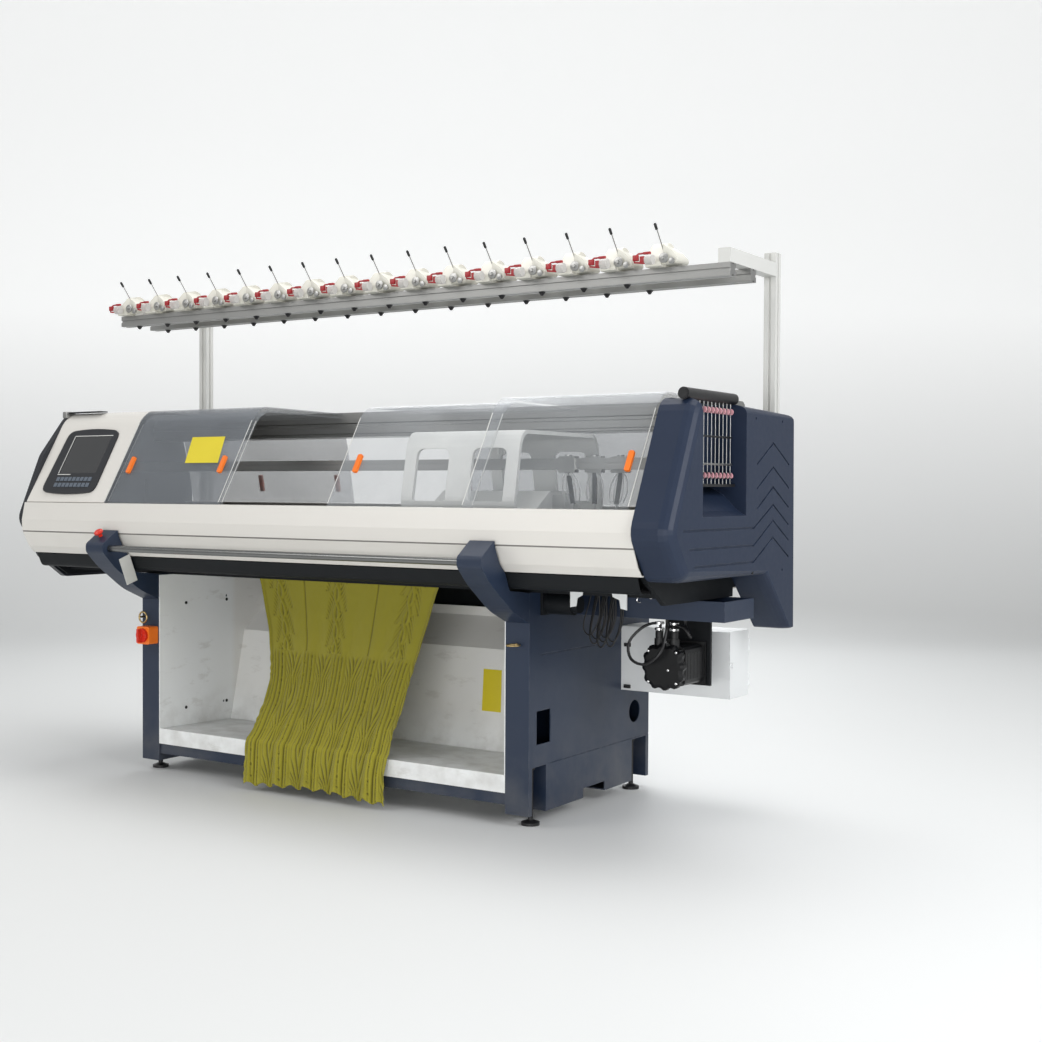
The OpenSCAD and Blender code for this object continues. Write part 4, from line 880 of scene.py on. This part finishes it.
def make_wires():
    """Thin wires that sag under the right end, by the side panel."""
    top = 703  # inside the trough, where both ends of every wire are
    p = Piece("loose_wires")
    for k, sag in enumerate((0.13, 0.71, 0.37, 0.92, 0.55, 0.24, 0.83, 0.48)):
        x, y = 1738 + 11 * k, 196 + 20 * sag
        path = [(x, y, top), (x - 8, y - 6, 664 - 14 * sag), (x - 26 + 8 * sag, y - 10, 596 - 46 * sag),
                (x - 2, y - 4, 572 - 44 * sag), (x + 22, y + 4, 622 - 20 * sag), (x + 18, y + 8, top)]
        p.tube(smooth_line(path, 5), 2.2 + 0.8 * sag, 6)
    p.hang("ink", "machine", "black_plastic")


def make_ears():
    """White sheet ears under the trough at the right end."""
    p = Piece("white_ears")
    for outer, inner in ((1776, 1820), (1962, 1912)):
        way = 1 if inner > outer else -1
        outline = [(outer, 719), (inner, 719), (inner - 4 * way, 700), (outer + 24 * way, 692),
                   (outer + 20 * way, 668), (outer, 664)]
        faces = [(0, 1, 2, 3, 4, 5), (11, 10, 9, 8, 7, 6)]
        faces += [(k, (k + 1) % 6, (k + 1) % 6 + 6, k + 6) for k in range(6)]
        p.add([(x, y, z) for y in (5, 8) for x, z in outline], faces)
    p.hang("white", "machine", "white_paint", smooth=False)


def slope_slab(piece, track, low, high, above, thick):
    """A thin slab on the hood's slope, between two corners given as (X, distance up the slope)."""
    corners = (low, (high[0], low[1]), high, (low[0], high[1]))
    piece.slab([slope_point(track, x, along, above) for x, along in corners], slope_out(track) * thick)


def make_hood_trim():
    """Silver corner and dark strip at the left end, and pale strips painted as highlights along the covers'
    edges and the screen's top and left edges.
    """
    p = Piece("left_corner")
    p.block((-446, 14, 1262), (-424, 60, 1287), 4)
    p.hang("aluminium", "machine", "aluminium")
    p = Piece("left_strip")
    p.block((-424, 26, 1281.5), (-250, 60, 1285.5), 1)
    p.hang("cap", "machine", "dark_paint", smooth=False)
    edge, foot, top = 3, 6, 322  # width of a cover's painted edge highlight, and where it starts and ends up the slope
    # Pale strips along each cover's side edges: painted highlights of the clear sheet's edges
    for node, track, left, right in (("front_cover_1", 1, -17, 532), ("front_cover_2", 0, -12, 537),
                                     ("front_cover_3", 0, 986, 1535), ("front_cover_4", 1, 1505, 2054)):
        p = Piece(node + "_edges")
        for x in (left, right - edge):
            slope_slab(p, track, (x, foot), (x + edge, top), 0.1, 0.6)
        p.hang("posts", node, "clear", smooth=False)
    # Pale strips along the screen's top and left edges: a painted highlight of its bevel
    p = Piece("screen_edge_highlight")
    for low, high in (((-319, 114), (-316, 272)), ((-319, 270), (-116, 273)), ((-319, 108), (-250, 111))):
        slope_slab(p, 1, low, high, 6.0, 0.9)
    p.hang("posts", "machine", "clear", smooth=False)


def make_rear_shade_sheet():
    """A thin dark sheet behind the tray, between the base's rear panel and the rear apron, that stands in for
    the shade there.
    """
    p = Piece("rear_shade_sheet")
    p.block((87, 640, 584), (1553, 642, 708), 0.4)
    p.hang("dark", "machine", "dark_paint", smooth=False)


FEED_FOOT_Z, ARM_TIP_Z = 1056, 960  # underside of the carriers' sliders and the end of their arms
ARM_TOP_Y, ARM_TIP_Y = 38, 11  # distance of an outer carrier's arm from the bed's middle, above and below


def make_feeder_tubes():
    """White curved feeder tubes beside the arms of the yarn carriers."""
    knob = [(-6, 2.5), (0, 3), (3, 3), (4, 2.5)]
    for number, x, side in ((1, 1650, -1), (2, 1720, 0), (3, 1790, 1)):
        p = Piece("feeder_tubes_%d" % number)
        top, tip = BED_Y + side * ARM_TOP_Y, BED_Y + side * ARM_TIP_Y
        for dx in (-24, -12, 12, 24):
            path = [(x + dx * share, top + (tip - top) * (FEED_FOOT_Z - z) / (FEED_FOOT_Z - ARM_TIP_Z), z)
                    for share, z in ((0.3, 1059), (1, 1034), (1.25, 996), (0.9, 966))]
            p.tube(smooth_line(path, 4), 2.0, 8)
            p.turned((x + dx * 0.3, top, FEED_FOOT_Z - 3), (0, 0, 1), knob, 10)
        p.hang("white", "yarn_carrier_%d" % number, "white_paint")


# Yarn unit: outline of its sloping cover in X and Z from the unit's middle, and turned profiles
SHELL = [(26, 6), (70, 8), (78, 16), (76, 27), (58, 48), (26, 70)]
SHELL_FRONT, SHELL_REAR = 360, 440
BIG_DISC = [(-2, 5), (10, 5), (11, 15), (13, 16), (15, 15), (16, 6), (22, 5)]
SMALL_DISC = [(-2, 4), (8, 4), (9, 10), (12, 10), (13, 4)]
WIRE_END = [(-8, 2.4), (-7, 4.2), (11, 4.6), (14, 3.0)]


def make_unit_parts():
    """Sloping covers, red levers, discs and black wire ends of the yarn units."""
    shells, levers = Piece("unit_shells"), Piece("unit_levers")
    discs, ends = Piece("unit_discs"), Piece("wire_ends")
    n, z = len(SHELL), UNIT_Z
    shell_faces = [tuple(range(n)), tuple(range(2 * n - 1, n - 1, -1))]
    shell_faces += [(j, j + n, (j + 1) % n + n, (j + 1) % n) for j in range(n)]
    for k in range(UNITS):
        x = UNIT_X0 + UNIT_PITCH * k
        front = [(x + a, SHELL_FRONT, z + b) for a, b in SHELL]
        rear = [(x + a, SHELL_REAR, z + b * (1 if b < 30 else 0.96)) for a, b in SHELL]
        shells.bevel(shells.add(front + rear, shell_faces), 4)
        levers.tube([(x - 26, 352, z + 44), (x - 48, 344, z + 42), (x - 62, 340, z + 30),
                     (x - 60, 340, z + 16), (x - 26, 346, z + 12)], 3.0, 8)
        levers.block((x - 64, 334, z + 20), (x - 46, 346, z + 38), 2.5)
        levers.block((x - 30, 338, z + 38), (x - 6, 348, z + 46), 2)
        discs.turned((x + 36, SHELL_FRONT + 1, z + 24), (0, -1, 0), BIG_DISC, 20)
        discs.turned((x + 62, SHELL_FRONT + 1, z + 14), (0, -1, 0), SMALL_DISC, 16)
        ends.turned((x + 18.6, 331, z + 115), (0, -0.61, 0.79), WIRE_END, 12)
    shells.hang("beige", "machine", "beige_plastic")
    levers.hang("maroon", "machine", "red_plastic")
    discs.hang("steel", "machine", "steel")
    ends.hang("ink", "machine", "black_plastic")


make_labels()
make_screws()
make_motor_flange()
make_motor_trim()
make_latches()
make_retaining_rings()
make_wires()
make_ears()
make_hood_trim()
make_rear_shade_sheet()
make_unit_parts()
make_feeder_tubes()


# Stage: a pale floor and backdrop, and soft studio light

STAGE_TURN = 32.9  # the backdrop faces the camera, in degrees
STAGE_FRONT, STAGE_BACK, STAGE_HALF = -9.0, 7.0, 12.0
BACKDROP_TOP, BACKDROP_BEND = 8.0, 2.5
BACKDROP_GLOW = 0.42


def stage_finish():
    """Pale paint. The backdrop glows a little for the camera and in mirrors, without lighting the object."""
    f = Finish("floor", srgb(226, 227, 226), 0.6)
    f.paint(f.ramp(f.noise(1.2, 3), 0.3, 0.7, 0.0, 0.05), srgb(214, 214, 212))
    rays = f.node("ShaderNodeLightPath").outputs
    mirrored = f.math("MAXIMUM", rays["Is Glossy Ray"], rays["Is Transmission Ray"])
    seen = f.math("MAXIMUM", rays["Is Camera Ray"], mirrored)
    f.bsdf.inputs["Emission Color"].default_value = (1, 1, 1, 1)
    f.feed(f.bsdf.inputs["Emission Strength"],
           f.math("MULTIPLY", f.ramp(f.axis("Z"), 0.0, BACKDROP_BEND, 0.0, BACKDROP_GLOW), seen))
    return f


def make_stage():
    foot = STAGE_BACK - BACKDROP_BEND
    line = [(STAGE_FRONT, 0.0), (foot, 0.0)]
    for a in (math.radians(9 * k) for k in range(1, 11)):
        line.append((foot + BACKDROP_BEND * math.sin(a), BACKDROP_BEND - BACKDROP_BEND * math.cos(a)))
    line.append((STAGE_BACK, BACKDROP_TOP))
    bm = bmesh.new()
    rows = [[bm.verts.new((x, y, z)) for x in (-STAGE_HALF, STAGE_HALF)] for y, z in line]
    for a, b in zip(rows, rows[1:]):
        bm.faces.new((a[0], a[1], b[1], b[0])).smooth = True
    mesh = bpy.data.meshes.new("floor")
    bm.to_mesh(mesh)
    bm.free()
    mesh.materials.append(stage_finish().mat)
    floor = bpy.data.objects.new("floor", mesh)
    bpy.context.scene.collection.objects.link(floor)
    floor.matrix_world = Matrix.Rotation(math.radians(STAGE_TURN), 4, "Z")


def area_light(name, place, target, size, power, color=(1, 1, 1)):
    light = bpy.data.lights.new(name, "AREA")
    light.shape, light.size, light.size_y = "RECTANGLE", size[0], size[1]
    light.energy, light.color = power, color
    o = bpy.data.objects.new(name, light)
    bpy.context.scene.collection.objects.link(o)
    o.location = place
    o.rotation_euler = (Vector(target) - Vector(place)).to_track_quat("-Z", "Y").to_euler()


def make_lights():
    world = bpy.data.worlds.new("studio")
    bpy.context.scene.world = world
    world.use_nodes = True
    sky = world.node_tree.nodes["Background"].inputs
    sky["Color"].default_value = (0.98, 0.99, 1.0, 1)
    sky["Strength"].default_value = 0.48
    area_light("key", (-2.6, -4.2, 3.6), (0, 0, 0.7), (3.0, 2.0), 50, (1.0, 0.99, 0.97))
    area_light("front", (2.3, -5.2, 0.6), (-0.1, 0, 0.4), (4.0, 1.0), 96)
    area_light("right", (5.0, -1.0, 2.6), (0.6, 0, 0.7), (2.4, 2.4), 118, (0.97, 0.98, 1.0))
    area_light("top", (0.2, 0.6, 4.4), (0, 0, 0.8), (4.5, 2.5), 96)
    area_light("back", (-2.0, 4.6, 2.6), (0, 0, 1.0), (3.5, 2.0), 70, (0.94, 0.97, 1.0))


make_stage()
make_lights()
bpy.context.scene.view_settings.view_transform = "Standard"
